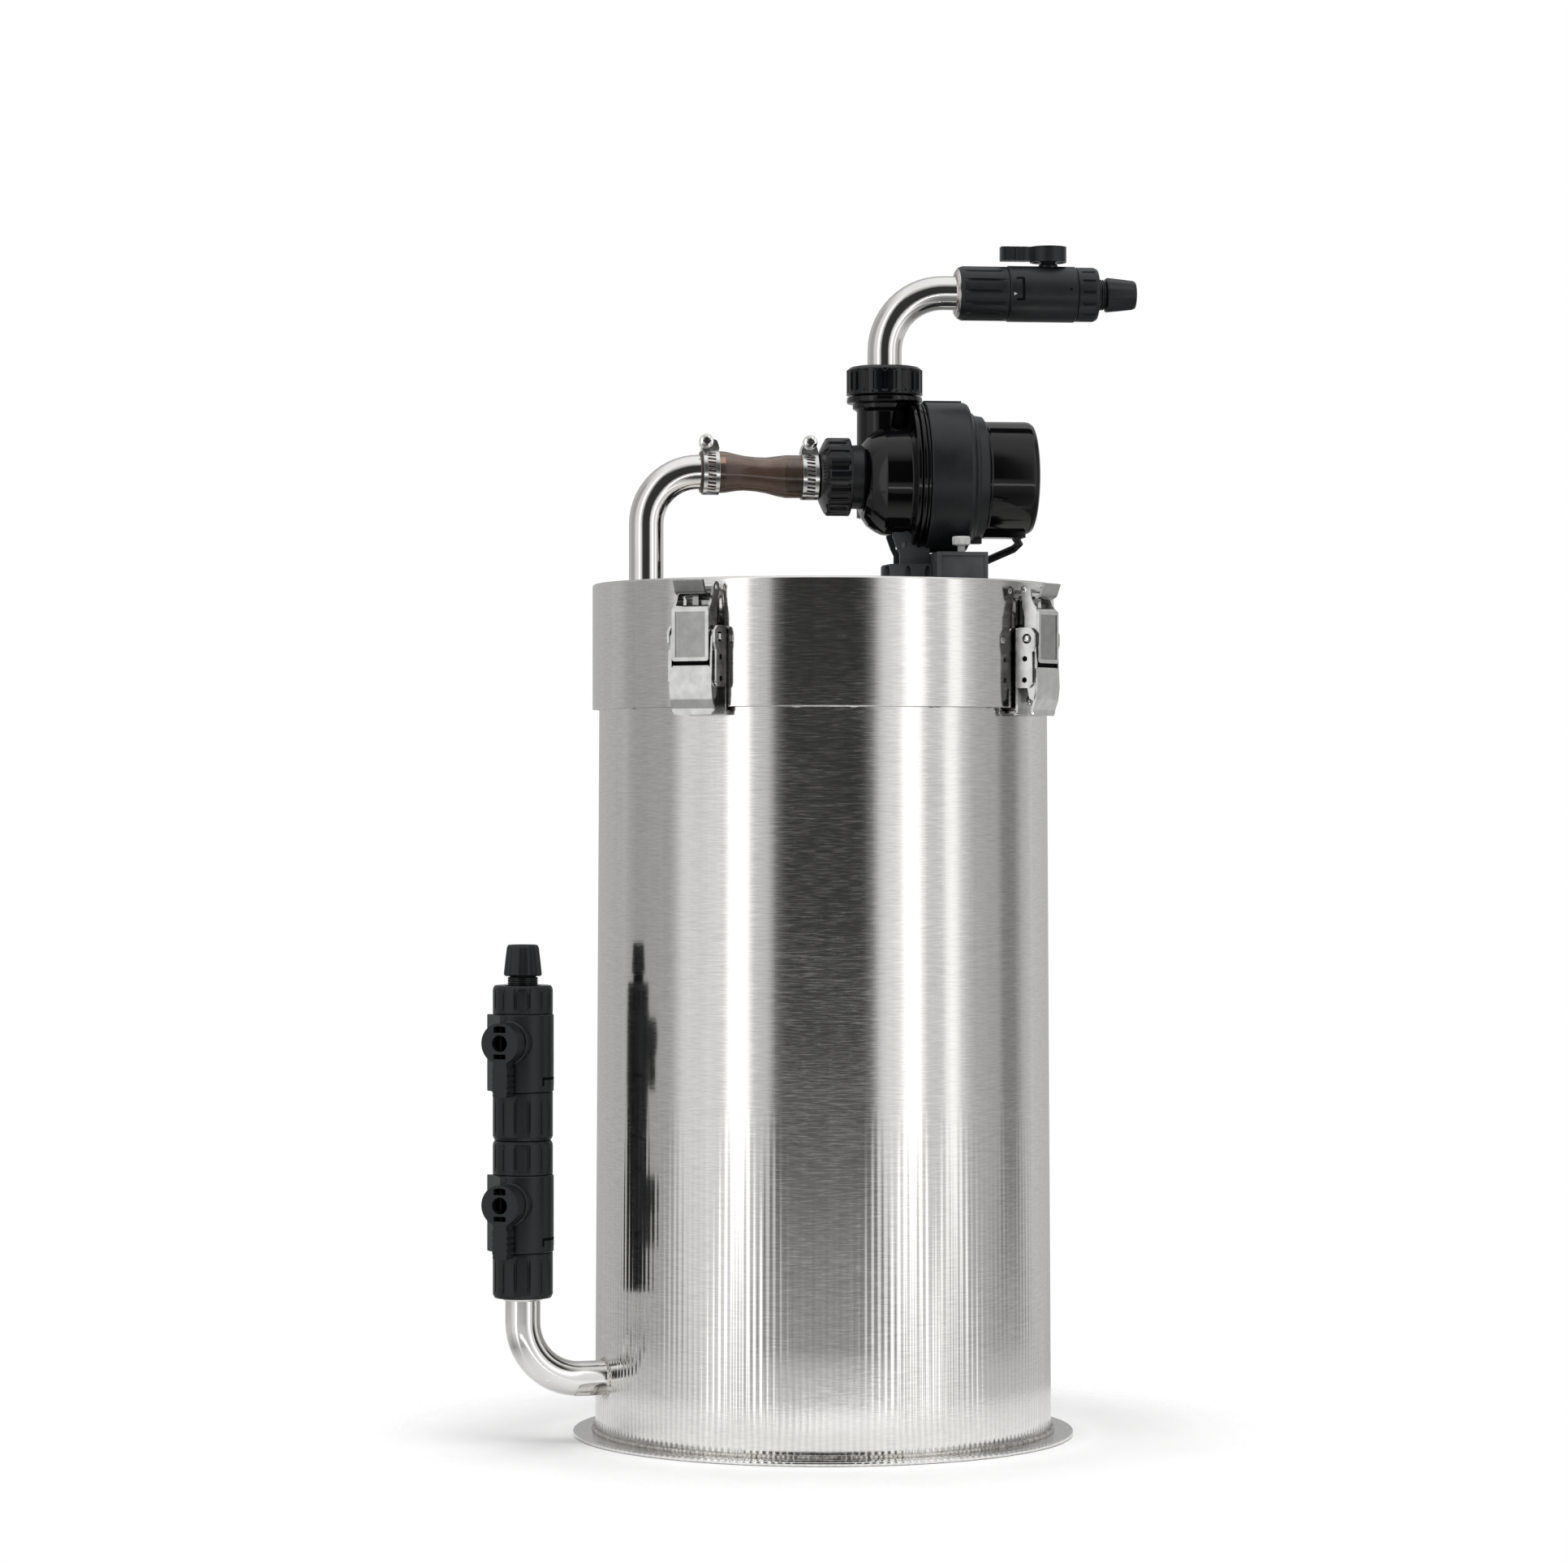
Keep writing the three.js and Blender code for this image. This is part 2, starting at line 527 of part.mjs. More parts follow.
// From the gland, down behind the foot block, along the lid and into the coil's outer turn.
const LEAD = [
  [110.4, 25.6, 503.4], [110.5, 28.6, 500.4], [113.7, 31.9, 497.2], [116.2, 35.6, 494.4], [113.5, 39.5, 491.6],
  [104.5, 43, 487.6], [93, 45.5, 482.4], [84, 46.5, 477.8], [74, 46.6, 474.2], [64, 46.2, 472.2], [54, 45, LEAD_Z],
  [43, 42, LEAD_Z], [32, 38, LEAD_Z], [21, 33.2, LEAD_Z], [10, 28.4, LEAD_Z],
];

function buildLead() {
  const [cx, cy] = CORD.coil;
  const curve = new THREE.CatmullRomCurve3(LEAD.map((p) => new THREE.Vector3(...p)));
  const shape = new THREE.Shape().absarc(0, 0, CORD.r, 0, 2 * Math.PI);
  const settings = { steps: 24, extrudePath: curve, bevelEnabled: false, curveSegments: 4 };
  const low = LID.top + CORD.ledge;
  const coil = ring(CORD.coilIn - CORD.r, CORD.coilOut + CORD.r, low, low + 2 * CORD.r, ROUND.medium);
  const tube = cut(new THREE.ExtrudeGeometry(shape, settings), moved(rod(CORD.coilOut + CORD.r + GAP, 460, 490), cx, cy, 0));
  piece(line, "pump_lead", tube, rubber);
  piece(line, "lead_coil", moved(coil, cx, cy, 0), rubber);
  piece(line, "lead_connector", moved(box([-9.8, -2.2], [0, 15], [low, low + 5.6]), cx, cy, 0), matte);

  // The gland stands on the can's lower back, where the lead comes out towards the back and down.
  const gland = lathe([[2.9, 0], [5, 0], [5, 3], [4, 8], [2.9, 8]], ROUND.tiny).rotateX(THREE.MathUtils.degToRad(-135));
  piece(line, "lead_gland", moved(gland, 110.4, 22.6, PUMP.z - 22.6), rubber);
}

buildBarrel();
buildMedia();
buildLid();
buildLatches();
buildHose();
buildPump();
buildPumpFoot();
buildTaps();
buildLead();

export default root;
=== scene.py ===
"""Looks of the canister filter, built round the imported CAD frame.

Shapes are in millimetres, and are scaled to metres as they become meshes.
"""

from math import cos, pi, sin, sqrt, tan

import bpy
from mathutils import Matrix, Vector, noise


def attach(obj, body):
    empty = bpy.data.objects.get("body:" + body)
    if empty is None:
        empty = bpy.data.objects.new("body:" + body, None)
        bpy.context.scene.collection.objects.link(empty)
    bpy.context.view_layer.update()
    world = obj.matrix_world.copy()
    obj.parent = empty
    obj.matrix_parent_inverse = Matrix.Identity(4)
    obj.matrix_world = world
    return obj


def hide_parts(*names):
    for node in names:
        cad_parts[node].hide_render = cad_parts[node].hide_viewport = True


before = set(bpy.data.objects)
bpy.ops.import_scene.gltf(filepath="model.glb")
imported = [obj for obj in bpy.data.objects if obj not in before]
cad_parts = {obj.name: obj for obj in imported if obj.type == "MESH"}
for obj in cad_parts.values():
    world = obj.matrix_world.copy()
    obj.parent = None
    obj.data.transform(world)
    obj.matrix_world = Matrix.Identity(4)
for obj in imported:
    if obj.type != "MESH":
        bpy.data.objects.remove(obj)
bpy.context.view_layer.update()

MM = 0.001
DEG = pi / 180
TAU = 2 * pi


def added(name, data):
    """A new object in the scene."""
    obj = bpy.data.objects.new(name, data)
    bpy.context.scene.collection.objects.link(obj)
    return obj


def mesh_of(name, shape):
    mesh = bpy.data.meshes.new(name)
    mesh.from_pydata([p * MM for p in shape[0]], [], shape[1])
    return mesh


# ---- camera, first of all
def make_camera():
    data = bpy.data.cameras.new("camera")
    data.lens = 112.2
    data.sensor_width = 36
    data.shift_y = 0.00155
    data.clip_end = 100
    camera = added("camera", data)
    camera.location = (-0.0216, -2.706, 0.359)
    camera.rotation_euler = (90 * DEG, 0, 0)
    bpy.context.scene.camera = camera


make_camera()


# ---- frames of the parts
def place(x=0, y=0, z=0):
    return Matrix.Translation((x, y, z))


def turn(degrees, axis="Z"):
    return Matrix.Rotation(degrees * DEG, 4, axis)


ALONG_X = turn(90, "Y")  # lays a piece on Z along +X, with its own -X up
LID_TOP = 469
ON_LID = 469.4  # where the pieces that stand on the lid begin
PUMP_Z = 529  # the height of the pump's axis
HOSE_Z = 531.2  # the height of the lid pipe's upper end
LINE = turn(7)  # the pump and its pipes are turned on the lid
PUMP = LINE @ place(0, 0, PUMP_Z)
AXIS = PUMP @ ALONG_X
NECK_X, NECK_Y = 36.4, 14  # the pump's outlet, which points up
NECK = LINE @ place(NECK_X, NECK_Y, 0)
LID_PIPE_X = -98.3
INLET = turn(198)
INLET_Z = 35
RISER_AT = (INLET @ place(171.8, 0, 0)).translation
LOWER_TAP = place(RISER_AT.x, RISER_AT.y, 80.3) @ turn(-114)
UPPER_TAP = place(RISER_AT.x, RISER_AT.y, 165.9) @ turn(-114)
Z_TO_X = Matrix(((0, 0, 1, 0), (0, -1, 0, 0), (1, 0, 0, 0), (0, 0, 0, 1)))
OUTLET_TAP = LINE @ place(77.6, NECK_Y, 633) @ Z_TO_X
PIPE_R, PIPE_BORE = 9.5, 8.3
SCREW_AT = place(72.1, -33.6, 0)  # the foot's thumb screw
LATCHES = {"front_left": -120.5, "front_right": -30.5, "rear_right": 59.5, "rear_left": 149.5}


# ---- shapes, each a list of points and a list of faces
def moved(shape, matrix):
    points, faces = shape
    return [matrix @ Vector(p) for p in points], faces


def polar(r, angle, z):
    return Vector((r * cos(angle), r * sin(angle), z))


def rect(x0, x1, z0, z1):
    return [(x0, z0), (x1, z0), (x1, z1), (x0, z1)]


def arc(x, z, wide, high, angles):
    return [(x + wide * cos(a), z + high * sin(a)) for a in angles]


def joined(*shapes):
    points, faces = [], []
    for p, f in shapes:
        start = len(points)
        points += p
        faces += [tuple(i + start for i in face) for face in f]
    return points, faces


def eased(outline, radius, steps=3, closed=True):
    """The outline with its corners rounded, each by at most that radius."""
    result = []
    count = len(outline)
    for i, at in enumerate(outline):
        here = Vector(at)
        if not closed and i in (0, count - 1):
            result.append(tuple(here))
            continue
        before = Vector(outline[i - 1]) - here
        after = Vector(outline[(i + 1) % count]) - here
        if before.length < 1e-6 or after.length < 1e-6:
            continue
        angle = before.angle(after, 0)
        reach = min(radius / max(tan(angle / 2), 1e-3), before.length * 0.45, after.length * 0.45)
        if angle > 168 * DEG or reach < 0.05:
            result.append(tuple(here))
            continue
        a = here + before.normalized() * reach
        b = here + after.normalized() * reach
        for s in range(steps + 1):
            t = s / steps
            result.append(tuple(a * (1 - t) ** 2 + here * 2 * t * (1 - t) + b * t * t))
    return result


def turned(profile, sides=96, ease=0.5, wave=None, steps=3):
    """A piece turned about Z from [radius, height] points. A profile off the axis closes on itself."""
    on_axis = profile[0][0] < 1e-6
    line = eased(profile, ease, steps, not on_axis)
    points, faces, rings = [], [], []
    for r, z in line:
        if r < 1e-6:
            rings.append([len(points)] * sides)
            points.append(Vector((0, 0, z)))
            continue
        rings.append(list(range(len(points), len(points) + sides)))
        for i in range(sides):
            a = TAU * i / sides
            out = wave(a, r, z) if wave else r
            points.append(polar(out, a, z))
    pairs = list(zip(rings, rings[1:]))
    if not on_axis:
        pairs.append((rings[-1], rings[0]))
    for low, high in pairs:
        for i in range(sides):
            j = (i + 1) % sides
            face = dict.fromkeys((low[i], low[j], high[j], high[i]))
            if len(face) > 2:
                faces.append(tuple(face))
    return points, faces


def swept(path, radius, bore=0.0, sides=24, closed=False):
    """A tube along a path. The radius is a number, or a list with one for each point."""
    line = [Vector(p) for p in path]
    count = len(line)
    radii = radius if isinstance(radius, list) else [radius] * count
    tangents = []
    for i in range(count):
        before = line[i - 1] if i or closed else line[i]
        after = line[(i + 1) % count] if i < count - 1 or closed else line[i]
        tangents.append((after - before).normalized())
    side = tangents[0].orthogonal().normalized()
    points, outer, inner = [], [], []
    for p, t, r in zip(line, tangents, radii):
        side = (side - t * side.dot(t)).normalized()
        other = t.cross(side)
        for rings, size in ((outer, r), (inner, bore)):
            rings.append([])
            for k in range(sides if size else 0):
                a = TAU * k / sides
                rings[-1].append(len(points))
                points.append(p + side * size * cos(a) + other * size * sin(a))
    faces = []

    def skin(rings, flip):
        ahead = rings[1:] + rings[:1] if closed else rings[1:]
        for low, high in zip(rings, ahead):
            for i in range(sides):
                j = (i + 1) % sides
                face = (low[i], low[j], high[j], high[i])
                faces.append(face[::-1] if flip else face)

    skin(outer, False)
    if bore:
        skin(inner, True)
    if not closed:
        for end, flip in ((0, True), (-1, False)):
            if not bore:
                faces.append(tuple(outer[end][::-1] if flip else outer[end]))
                continue
            for i in range(sides):
                j = (i + 1) % sides
                face = (outer[end][i], outer[end][j], inner[end][j], inner[end][i])
                faces.append(face[::-1] if flip else face)
    return points, faces


def bead(centre_matrix, radius, thick, lumps, seed, drop=0.0):
    """A weld bead round a pipe: a ring whose thickness and height wander, with the ripple of the torch."""
    count = lumps * 3
    path, radii = [], []
    for i in range(count):
        a = TAU * i / count
        wander = noise.noise(polar(3, a, seed))
        path.append(polar(radius, a, drop + 0.25 * thick * wander))
        radii.append(thick * (1 + 0.16 * cos(a * lumps) + 0.25 * wander))
    return moved(swept(path, radii, sides=8, closed=True), centre_matrix)


def plate(outline, near, far, holes=(), ease=0.0, across="Y"):
    """A flat plate with that outline, from near to far along the axis across it.

    Holes are (x, z, radius) or lists of points.
    """
    curve = bpy.data.curves.new("outline", "CURVE")
    curve.dimensions = "2D"
    curve.fill_mode = "BOTH"
    curve.extrude = (far - near) / 2
    loops = [eased(outline, ease) if ease else outline]
    for hole in holes:
        if len(hole) == 3 and not hasattr(hole[0], "__len__"):
            x, z, r = hole
            hole = arc(x, z, r, r, [k * pi / 10 for k in range(20)])
        loops.append(hole)
    for loop in loops:
        spline = curve.splines.new("POLY")
        spline.points.add(len(loop) - 1)
        for p, at in zip(spline.points, loop):
            p.co = (at[0], at[1], 0, 1)
        spline.use_cyclic_u = True
    holder = bpy.data.objects.new("outline", curve)
    mesh = bpy.data.meshes.new_from_object(holder)
    middle = (near + far) / 2
    place_points = {
        "Y": lambda c: Vector((c.x, middle - c.z, c.y)),
        "X": lambda c: Vector((middle + c.z, c.x, c.y)),
        "Z": lambda c: Vector((c.x, c.y, middle + c.z)),
    }[across]
    shape = [place_points(v.co) for v in mesh.vertices], [tuple(p.vertices) for p in mesh.polygons]
    bpy.data.objects.remove(holder)
    bpy.data.curves.remove(curve)
    bpy.data.meshes.remove(mesh)
    return shape


def block(xs, ys, zs, ease=1.0):
    """A block whose upright edges are rounded in plan; a bevel rounds the rest."""
    (x0, x1), (y0, y1), (z0, z1) = xs, ys, zs
    return plate(rect(x0, x1, y0, y1), z0, z1, ease=ease, across="Z")


def strip(line, thick, near, far, ease=0.0):
    """Sheet metal bent along a line of [x, z] points, carried along Y."""
    path = [Vector(p) for p in (eased(line, ease, 4, False) if ease else line)]
    left, right = [], []
    for i, p in enumerate(path):
        ahead = path[min(i + 1, len(path) - 1)] - path[max(i - 1, 0)]
        normal = Vector((-ahead.y, ahead.x)).normalized() * thick / 2
        left.append(tuple(p + normal))
        right.append(tuple(p - normal))
    return plate(left + right[::-1], near, far)


def rod(radius, z0, z1, ease=0.3, sides=24):
    return turned(rect(0, radius, z0, z1), sides, ease, steps=2)


# ---- pieces
def piece(name, shapes, material, body, node=None, at=None, bevel=0.0, sharp=35, holes=()):
    """One visible piece made of those shapes, moved to a place. It rides on a body and stands for a CAD node.
    """
    mesh = mesh_of(name, joined(*[moved(s, at) if at else s for s in shapes]))
    mesh.validate()
    mesh.materials.append(material)
    obj = added(name, mesh)
    for hole in holes:
        drill(obj, hole)
    for polygon in obj.data.polygons:
        polygon.use_smooth = True
    obj.data.set_sharp_from_angle(angle=sharp * DEG)
    if bevel:
        edge = obj.modifiers.new("edges", "BEVEL")
        edge.width = bevel * MM
        edge.segments = 2
        edge.limit_method = "ANGLE"
        edge.angle_limit = 40 * DEG
        edge.harden_normals = True
    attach(obj, body)
    if node:
        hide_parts(node)
    return obj


def drill(obj, hole):
    """Cuts one closed shape out of a piece."""
    tool = added("drill", mesh_of("drill", hole))
    cut = obj.modifiers.new("cut", "BOOLEAN")
    cut.operation = "DIFFERENCE"
    cut.solver = "EXACT"
    cut.object = tool
    done = bpy.data.meshes.new_from_object(obj.evaluated_get(bpy.context.evaluated_depsgraph_get()))
    obj.modifiers.clear()
    obj.data = done
    bpy.data.objects.remove(tool)


# ---- materials
BARREL_R = 125
RIB_PITCH = 3.6  # of the upright ribs low on the barrel


class Nodes:
    """Shader nodes in one tree."""

    def __init__(self, tree):
        self.tree = tree

    def node(self, kind, inputs=None, **attributes):
        made = self.tree.nodes.new("ShaderNode" + kind)
        for key, value in attributes.items():
            setattr(made, key, value)
        for key, value in (inputs or {}).items():
            self.put(value, made.inputs[key])
        return made

    def put(self, value, socket):
        """Links a socket to an input, or sets the input to a value."""
        if isinstance(value, bpy.types.NodeSocket):
            self.tree.links.new(value, socket)
        else:
            socket.default_value = value

    def math(self, operation, a, b=0.0):
        return self.node("Math", {0: a, 1: b}, operation=operation).outputs[0]

    def ranged(self, value, low, high, to_low=0.0, to_high=1.0):
        sockets = {"Value": value, "From Min": low, "From Max": high, "To Min": to_low, "To Max": to_high}
        return self.node("MapRange", sockets).outputs[0]

    def mixed(self, factor, a, b):
        """Two colours, mixed."""
        made = self.node("Mix", {0: factor, 6: a, 7: b}, data_type="RGBA")
        return made.outputs[2]


class Paint(Nodes):
    """A procedural material: a Principled shader and the nodes that feed it."""

    def __init__(self, name, color, roughness, metallic=0.0, **settings):
        self.material = bpy.data.materials.new(name)
        self.material.use_nodes = True
        super().__init__(self.material.node_tree)
        self.shader = self.tree.nodes["Principled BSDF"]
        self.color = color
        settings |= {"Base_Color": (*color, 1), "Roughness": roughness, "Metallic": metallic}
        for key, value in settings.items():
            self.shader.inputs[key.replace("_", " ")].default_value = value
        self.where = self.node("TexCoord").outputs["Object"]

    def feed(self, socket, name):
        self.tree.links.new(socket, self.shader.inputs[name])

    def noise(self, scale, detail=3.0, rough=0.5, at=None):
        """Noise with features about scale millimetres across, in metres' coordinates."""
        sockets = {
            "Vector": at or self.where, "Scale": 1 / (scale * MM), "Detail": detail, "Roughness": rough,
        }
        return self.node("TexNoise", sockets).outputs[0]

    def round_z(self, around=1.0, along=1.0):
        """Coordinates that run round the barrel's axis, up it and out from it, stretched by two factors."""
        axes = self.node("SeparateXYZ", {0: self.where}).outputs
        angle = self.math("ARCTAN2", axes[1], axes[0])
        run = self.math("MULTIPLY", angle, BARREL_R * MM * around)
        rise = self.math("MULTIPLY", axes[2], along)
        flat = self.node("VectorMath", {0: self.where, 1: (1, 1, 0)}, operation="MULTIPLY").outputs[0]
        reach = self.node("VectorMath", {0: flat}, operation="LENGTH").outputs["Value"]
        return self.node("CombineXYZ", {0: run, 1: rise, 2: reach}).outputs[0]

    def shade(self, value, low, high, spread):
        """Base colour that varies with value by that share either way."""
        factor = self.ranged(value, low, high, 1 - spread, 1 + spread)
        shaded = self.node("VectorMath", {0: self.color, "Scale": factor}, operation="SCALE").outputs[0]
        self.feed(shaded, "Base Color")

    def rough(self, value, low, high, to_low, to_high):
        self.feed(self.ranged(value, low, high, to_low, to_high), "Roughness")

    def bump(self, height, strength, depth, before=None):
        sockets = {"Height": height, "Strength": strength, "Distance": depth * MM}
        if before:
            sockets["Normal"] = before
        normal = self.node("Bump", sockets).outputs[0]
        self.feed(normal, "Normal")
        return normal


def brushed_steel():
    """Rolled sheet: fine hairlines round the barrel, and faint upright ribs low down, with painted shade and
    highlight in stripes along the ribs.
    """
    p = Paint("barrel_steel", (0.74, 0.73, 0.71), 0.12, 1.0, Anisotropic=0.45, Anisotropic_Rotation=0.25)
    p.feed(p.node("Tangent", direction_type="RADIAL", axis="Z").outputs[0], "Tangent")
    hair = p.noise(0.55, 3, 0.7, p.round_z(0.06, 1.0))
    streak = p.noise(6, 3, 0.6, p.round_z(1.0, 0.012))
    arc = p.node("SeparateXYZ", {0: p.round_z(1.0, 1.0)}).outputs[0]
    wave = p.math("SINE", p.math("MULTIPLY", arc, TAU / (RIB_PITCH * MM)))
    ribs = p.math("ADD", p.math("MULTIPLY", wave, 0.5), p.noise(3.4, 0, 0.4, p.round_z(1.0, 0.006)))
    blotch = p.noise(60, 3, 0.5)
    p.rough(p.math("ADD", hair, p.math("MULTIPLY", blotch, 0.2)), 0.56, 0.90, 0.10, 0.23)
    low = p.ranged(p.node("SeparateXYZ", {0: p.where}).outputs[2], 0.03, 0.19, 1.0, 0.0)
    # Painted shade and highlight: colour stripes along the ribs, low on the barrel.
    rib_shading = p.math("MULTIPLY", p.math("MULTIPLY", wave, low), 0.11)
    p.shade(p.math("ADD", p.math("ADD", hair, rib_shading), p.math("MULTIPLY", streak, 0.3)), 0.45, 0.85, 0.13)
    first = p.bump(p.math("MULTIPLY", ribs, low), 1.0, 0.14)
    second = p.bump(streak, 0.12, 0.10, first)
    p.bump(hair, 0.14, 0.04, second)
    return p.material


def polished_steel():
    p = Paint("pipe_steel", (0.80, 0.79, 0.77), 0.06, 1.0)
    smear = p.noise(9, 3)
    p.rough(smear, 0.3, 0.7, 0.04, 0.10)
    p.shade(p.noise(25, 2), 0.3, 0.7, 0.04)
    p.bump(smear, 0.12, 0.08)
    return p.material


def pressed_steel(name, tone):
    p = Paint(name, (tone, tone, tone * 0.98), 0.18, 1.0)
    grain = p.noise(0.7, 4, 0.6)
    wear = p.noise(6, 3)
    p.shade(wear, 0.3, 0.7, 0.12)
    p.rough(p.math("ADD", grain, wear), 0.7, 1.3, 0.12, 0.24)
    p.bump(grain, 0.18, 0.05)
    return p.material


def weld_steel():
    p = Paint("weld_steel", (0.62, 0.60, 0.57), 0.3, 1.0)
    tint = p.noise(3.5, 3)
    p.feed(p.mixed(p.ranged(tint, 0.35, 0.65), (0.50, 0.46, 0.42, 1), (0.78, 0.77, 0.75, 1)), "Base Color")
    p.rough(tint, 0.3, 0.7, 0.2, 0.42)
    p.bump(p.noise(0.8, 3), 0.3, 0.12)
    return p.material


def moulded(name, color, low, high, grain=0.45, depth=0.05, strength=0.25, **settings):
    """Moulded plastic or rubber: fine spark-eroded grain, and a slow drift in tone and sheen."""
    p = Paint(name, color, (low + high) / 2, 0.0, **settings)
    fine = p.noise(grain, 2, 0.6)
    slow = p.noise(14, 3)
    p.shade(slow, 0.3, 0.7, 0.22)
    p.rough(p.math("ADD", slow, p.math("MULTIPLY", fine, 0.5)), 0.45, 1.05, low, high)
    p.bump(fine, strength, depth)
    return p.material


def smoky_hose():
    p = Paint("smoke_hose", (0.30, 0.225, 0.185), 0.06, 0.0, Transmission_Weight=0.88, IOR=1.40)
    drift = p.noise(12, 2)
    p.shade(drift, 0.3, 0.7, 0.12)
    p.rough(drift, 0.3, 0.7, 0.05, 0.14)
    p.bump(p.noise(4, 2), 0.1, 0.08)
    return p.material


def porous(name, color, cell, depth, spread=0.3):
    """Open cells or pores: rounded pits of that size, with painted shade that darkens them where they are
    deep.
    """
    p = Paint(name, color, 0.95)
    pits = p.node("TexVoronoi", {"Vector": p.where, "Scale": 1 / (cell * MM)}).outputs["Distance"]
    # Painted shade: darker in the pits.
    p.shade(pits, 0.1, 0.7, spread)
    p.bump(p.math("ADD", pits, p.math("MULTIPLY", p.noise(cell * 0.4, 3), 0.5)), 0.8, depth)
    return p.material


def wound_copper():
    p = Paint("copper_winding", (0.50, 0.24, 0.12), 0.35, 0.7)
    wires = p.node("TexWave", {"Vector": p.where, "Scale": 700, "Distortion": 1.5}).outputs["Fac"]
    # Painted shade: the colour darkens in the troughs between the turns of wire.
    p.shade(wires, 0, 1, 0.35)
    p.rough(wires, 0, 1, 0.28, 0.5)
    p.bump(wires, 0.6, 0.3)
    return p.material


STEEL = brushed_steel()
PIPE = polished_steel()
PRESSED = pressed_steel("pressed_steel", 0.74)
# A darker copy of the pressed steel: painted shade, for the claw's sunk panel and the keeper.
SHADED_PRESSED = pressed_steel("shaded_pressed_steel", 0.40)
WELD = weld_steel()
MATTE = moulded("matte_black", (0.0105, 0.0122, 0.0135), 0.30, 0.44, Specular_IOR_Level=0.32)
GLOSS = moulded(
    "gloss_black", (0.0016, 0.0016, 0.002), 0.05, 0.10, grain=3.0, depth=0.03, strength=0.06,
    Specular_IOR_Level=0.36,
)
NUT = moulded(
    "satin_black", (0.0022, 0.0026, 0.0038), 0.14, 0.24, grain=0.8, depth=0.03, strength=0.10,
    Specular_IOR_Level=0.36,
)
FOOT = moulded("foot_grey", (0.065, 0.070, 0.074), 0.30, 0.44, Specular_IOR_Level=0.36)
# Painted shade: a dead black that fills holes, slots, gaps and recesses where only shade would show.
SHADE_BLACK = moulded("painted_shade_black", (0.0008, 0.0008, 0.0008), 0.6, 0.8, Specular_IOR_Level=0.1)
RUBBER = moulded("black_rubber", (0.007, 0.007, 0.007), 0.42, 0.62, grain=0.7, Specular_IOR_Level=0.32)
SMOKE = smoky_hose()
CLEAR = moulded("clear_plastic", (0.80, 0.81, 0.80), 0.18, 0.32, Transmission_Weight=0.35, IOR=1.45)
CERAMIC = porous("white_ceramic", (0.74, 0.70, 0.60), 3.0, 1.0)
SPONGE = porous("sponge", (0.025, 0.035, 0.055), 2.2, 1.2, 0.6)
COPPER = wound_copper()


# ---- the lead, from the gland to the coil
LEAD_R = 2.25
LEAD_Z = ON_LID + LEAD_R
LEAD_RUN = [
    (110.4, 25.6, 503.4), (110.5, 28.6, 500.4), (113.7, 31.9, 497.2), (116.2, 35.6, 494.4),
    (113.5, 39.5, 491.6), (104.5, 43, 487.6), (93, 45.5, 482.4), (84, 46.5, 477.8), (74, 46.6, 474.2),
    (64, 46.2, 472.2), (54, 45, LEAD_Z), (43, 42, LEAD_Z), (32, 38, LEAD_Z), (21, 33.2, LEAD_Z),
    (10, 28.4, LEAD_Z),
]
COIL_AT = (-24, 60)


def lead_path():
    """The run to the coil's edge, 3.8 turns inwards with the clock, and a half turn to the connector."""
    path = [Vector(p) for p in LEAD_RUN]
    start, turns, outer, inner = -65.0, 3.8194, 42.6, 22.0
    steps = 72
    for i in range(steps + 1):
        t = i / steps
        a = (start - 360 * turns * t) * DEG
        r = outer + (inner - outer) * t
        path.append(Vector((COIL_AT[0] + r * cos(a), COIL_AT[1] + r * sin(a), LEAD_Z)))
    end = (start - 360 * turns) * DEG
    for i in range(1, 11):
        a = end - i * 18 * DEG
        hub = Vector((COIL_AT[0] + 8, COIL_AT[1], LEAD_Z))
        path.append(hub + polar(14, a, 0))
    path.append(path[-1] + Vector((0, 2, 0)))
    return [LINE @ p for p in path]


def make_lead():
    path = lead_path()
    curve = bpy.data.curves.new("lead_cord", "CURVE")
    curve.dimensions = "3D"
    curve.bevel_depth = LEAD_R * MM
    curve.bevel_resolution = 4
    curve.use_fill_caps = True
    spline = curve.splines.new("POLY")
    spline.points.add(len(path) - 1)
    for p, at in zip(spline.points, path):
        p.co = (*(at * MM), 1)
    spline.use_smooth = True
    curve.materials.append(RUBBER)
    cord = added("lead_cord", curve)
    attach(cord, "lid")
    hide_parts("pump_lead", "lead_coil")

    plug_at = LINE @ place(COIL_AT[0] - 6, COIL_AT[1] + 1.4, 0)
    shell = block((-3.8, 3.8), (0, 13), (ON_LID, 475), 1.2)
    ribs = [block((-4.0, 4.0), (y, y + 0.8), (ON_LID, 475.2), 0.3) for y in (2.5, 4.5, 6.5, 8.5)]
    plug = piece("lead_plug", [shell, *ribs], MATTE, "lid", "lead_connector", at=plug_at, bevel=0.4)
    gland_axis = LINE @ place(110.4, 22.6, 506.4) @ turn(-135, "X")
    rings = [
        (2.5, 0), (5, 0), (5, 2.6), (4.4, 3.2), (4.7, 3.9), (4.1, 4.5), (4.4, 5.2), (3.8, 5.8), (4.0, 6.6),
        (3.6, 8), (2.5, 8),
    ]
    gland = piece("gland", [turned(rings, 32, 0.25, steps=2)], RUBBER, "lid", "lead_gland", at=gland_axis)


make_lead()


# ---- barrel
def quarter_bend(start, into, out, first, bend, last):
    """Points of two straight runs joined by a quarter bend."""
    steps = 14
    into, out, start = Vector(into), Vector(out), Vector(start)
    path = [start]
    knee = start + into * first
    for i in range(steps + 1):
        a = pi / 2 * i / steps
        path.append(knee + into * bend * sin(a) + out * bend * (1 - cos(a)))
    path.append(path[-1] + out * last)
    return path


def bent_pipe(path):
    return swept(path, PIPE_R, PIPE_BORE, 48)


def shell_radius(z):
    """The barrel narrows a little from its foot to its rim."""
    return 126.1 - 2.3 * min(z, 400) / 400


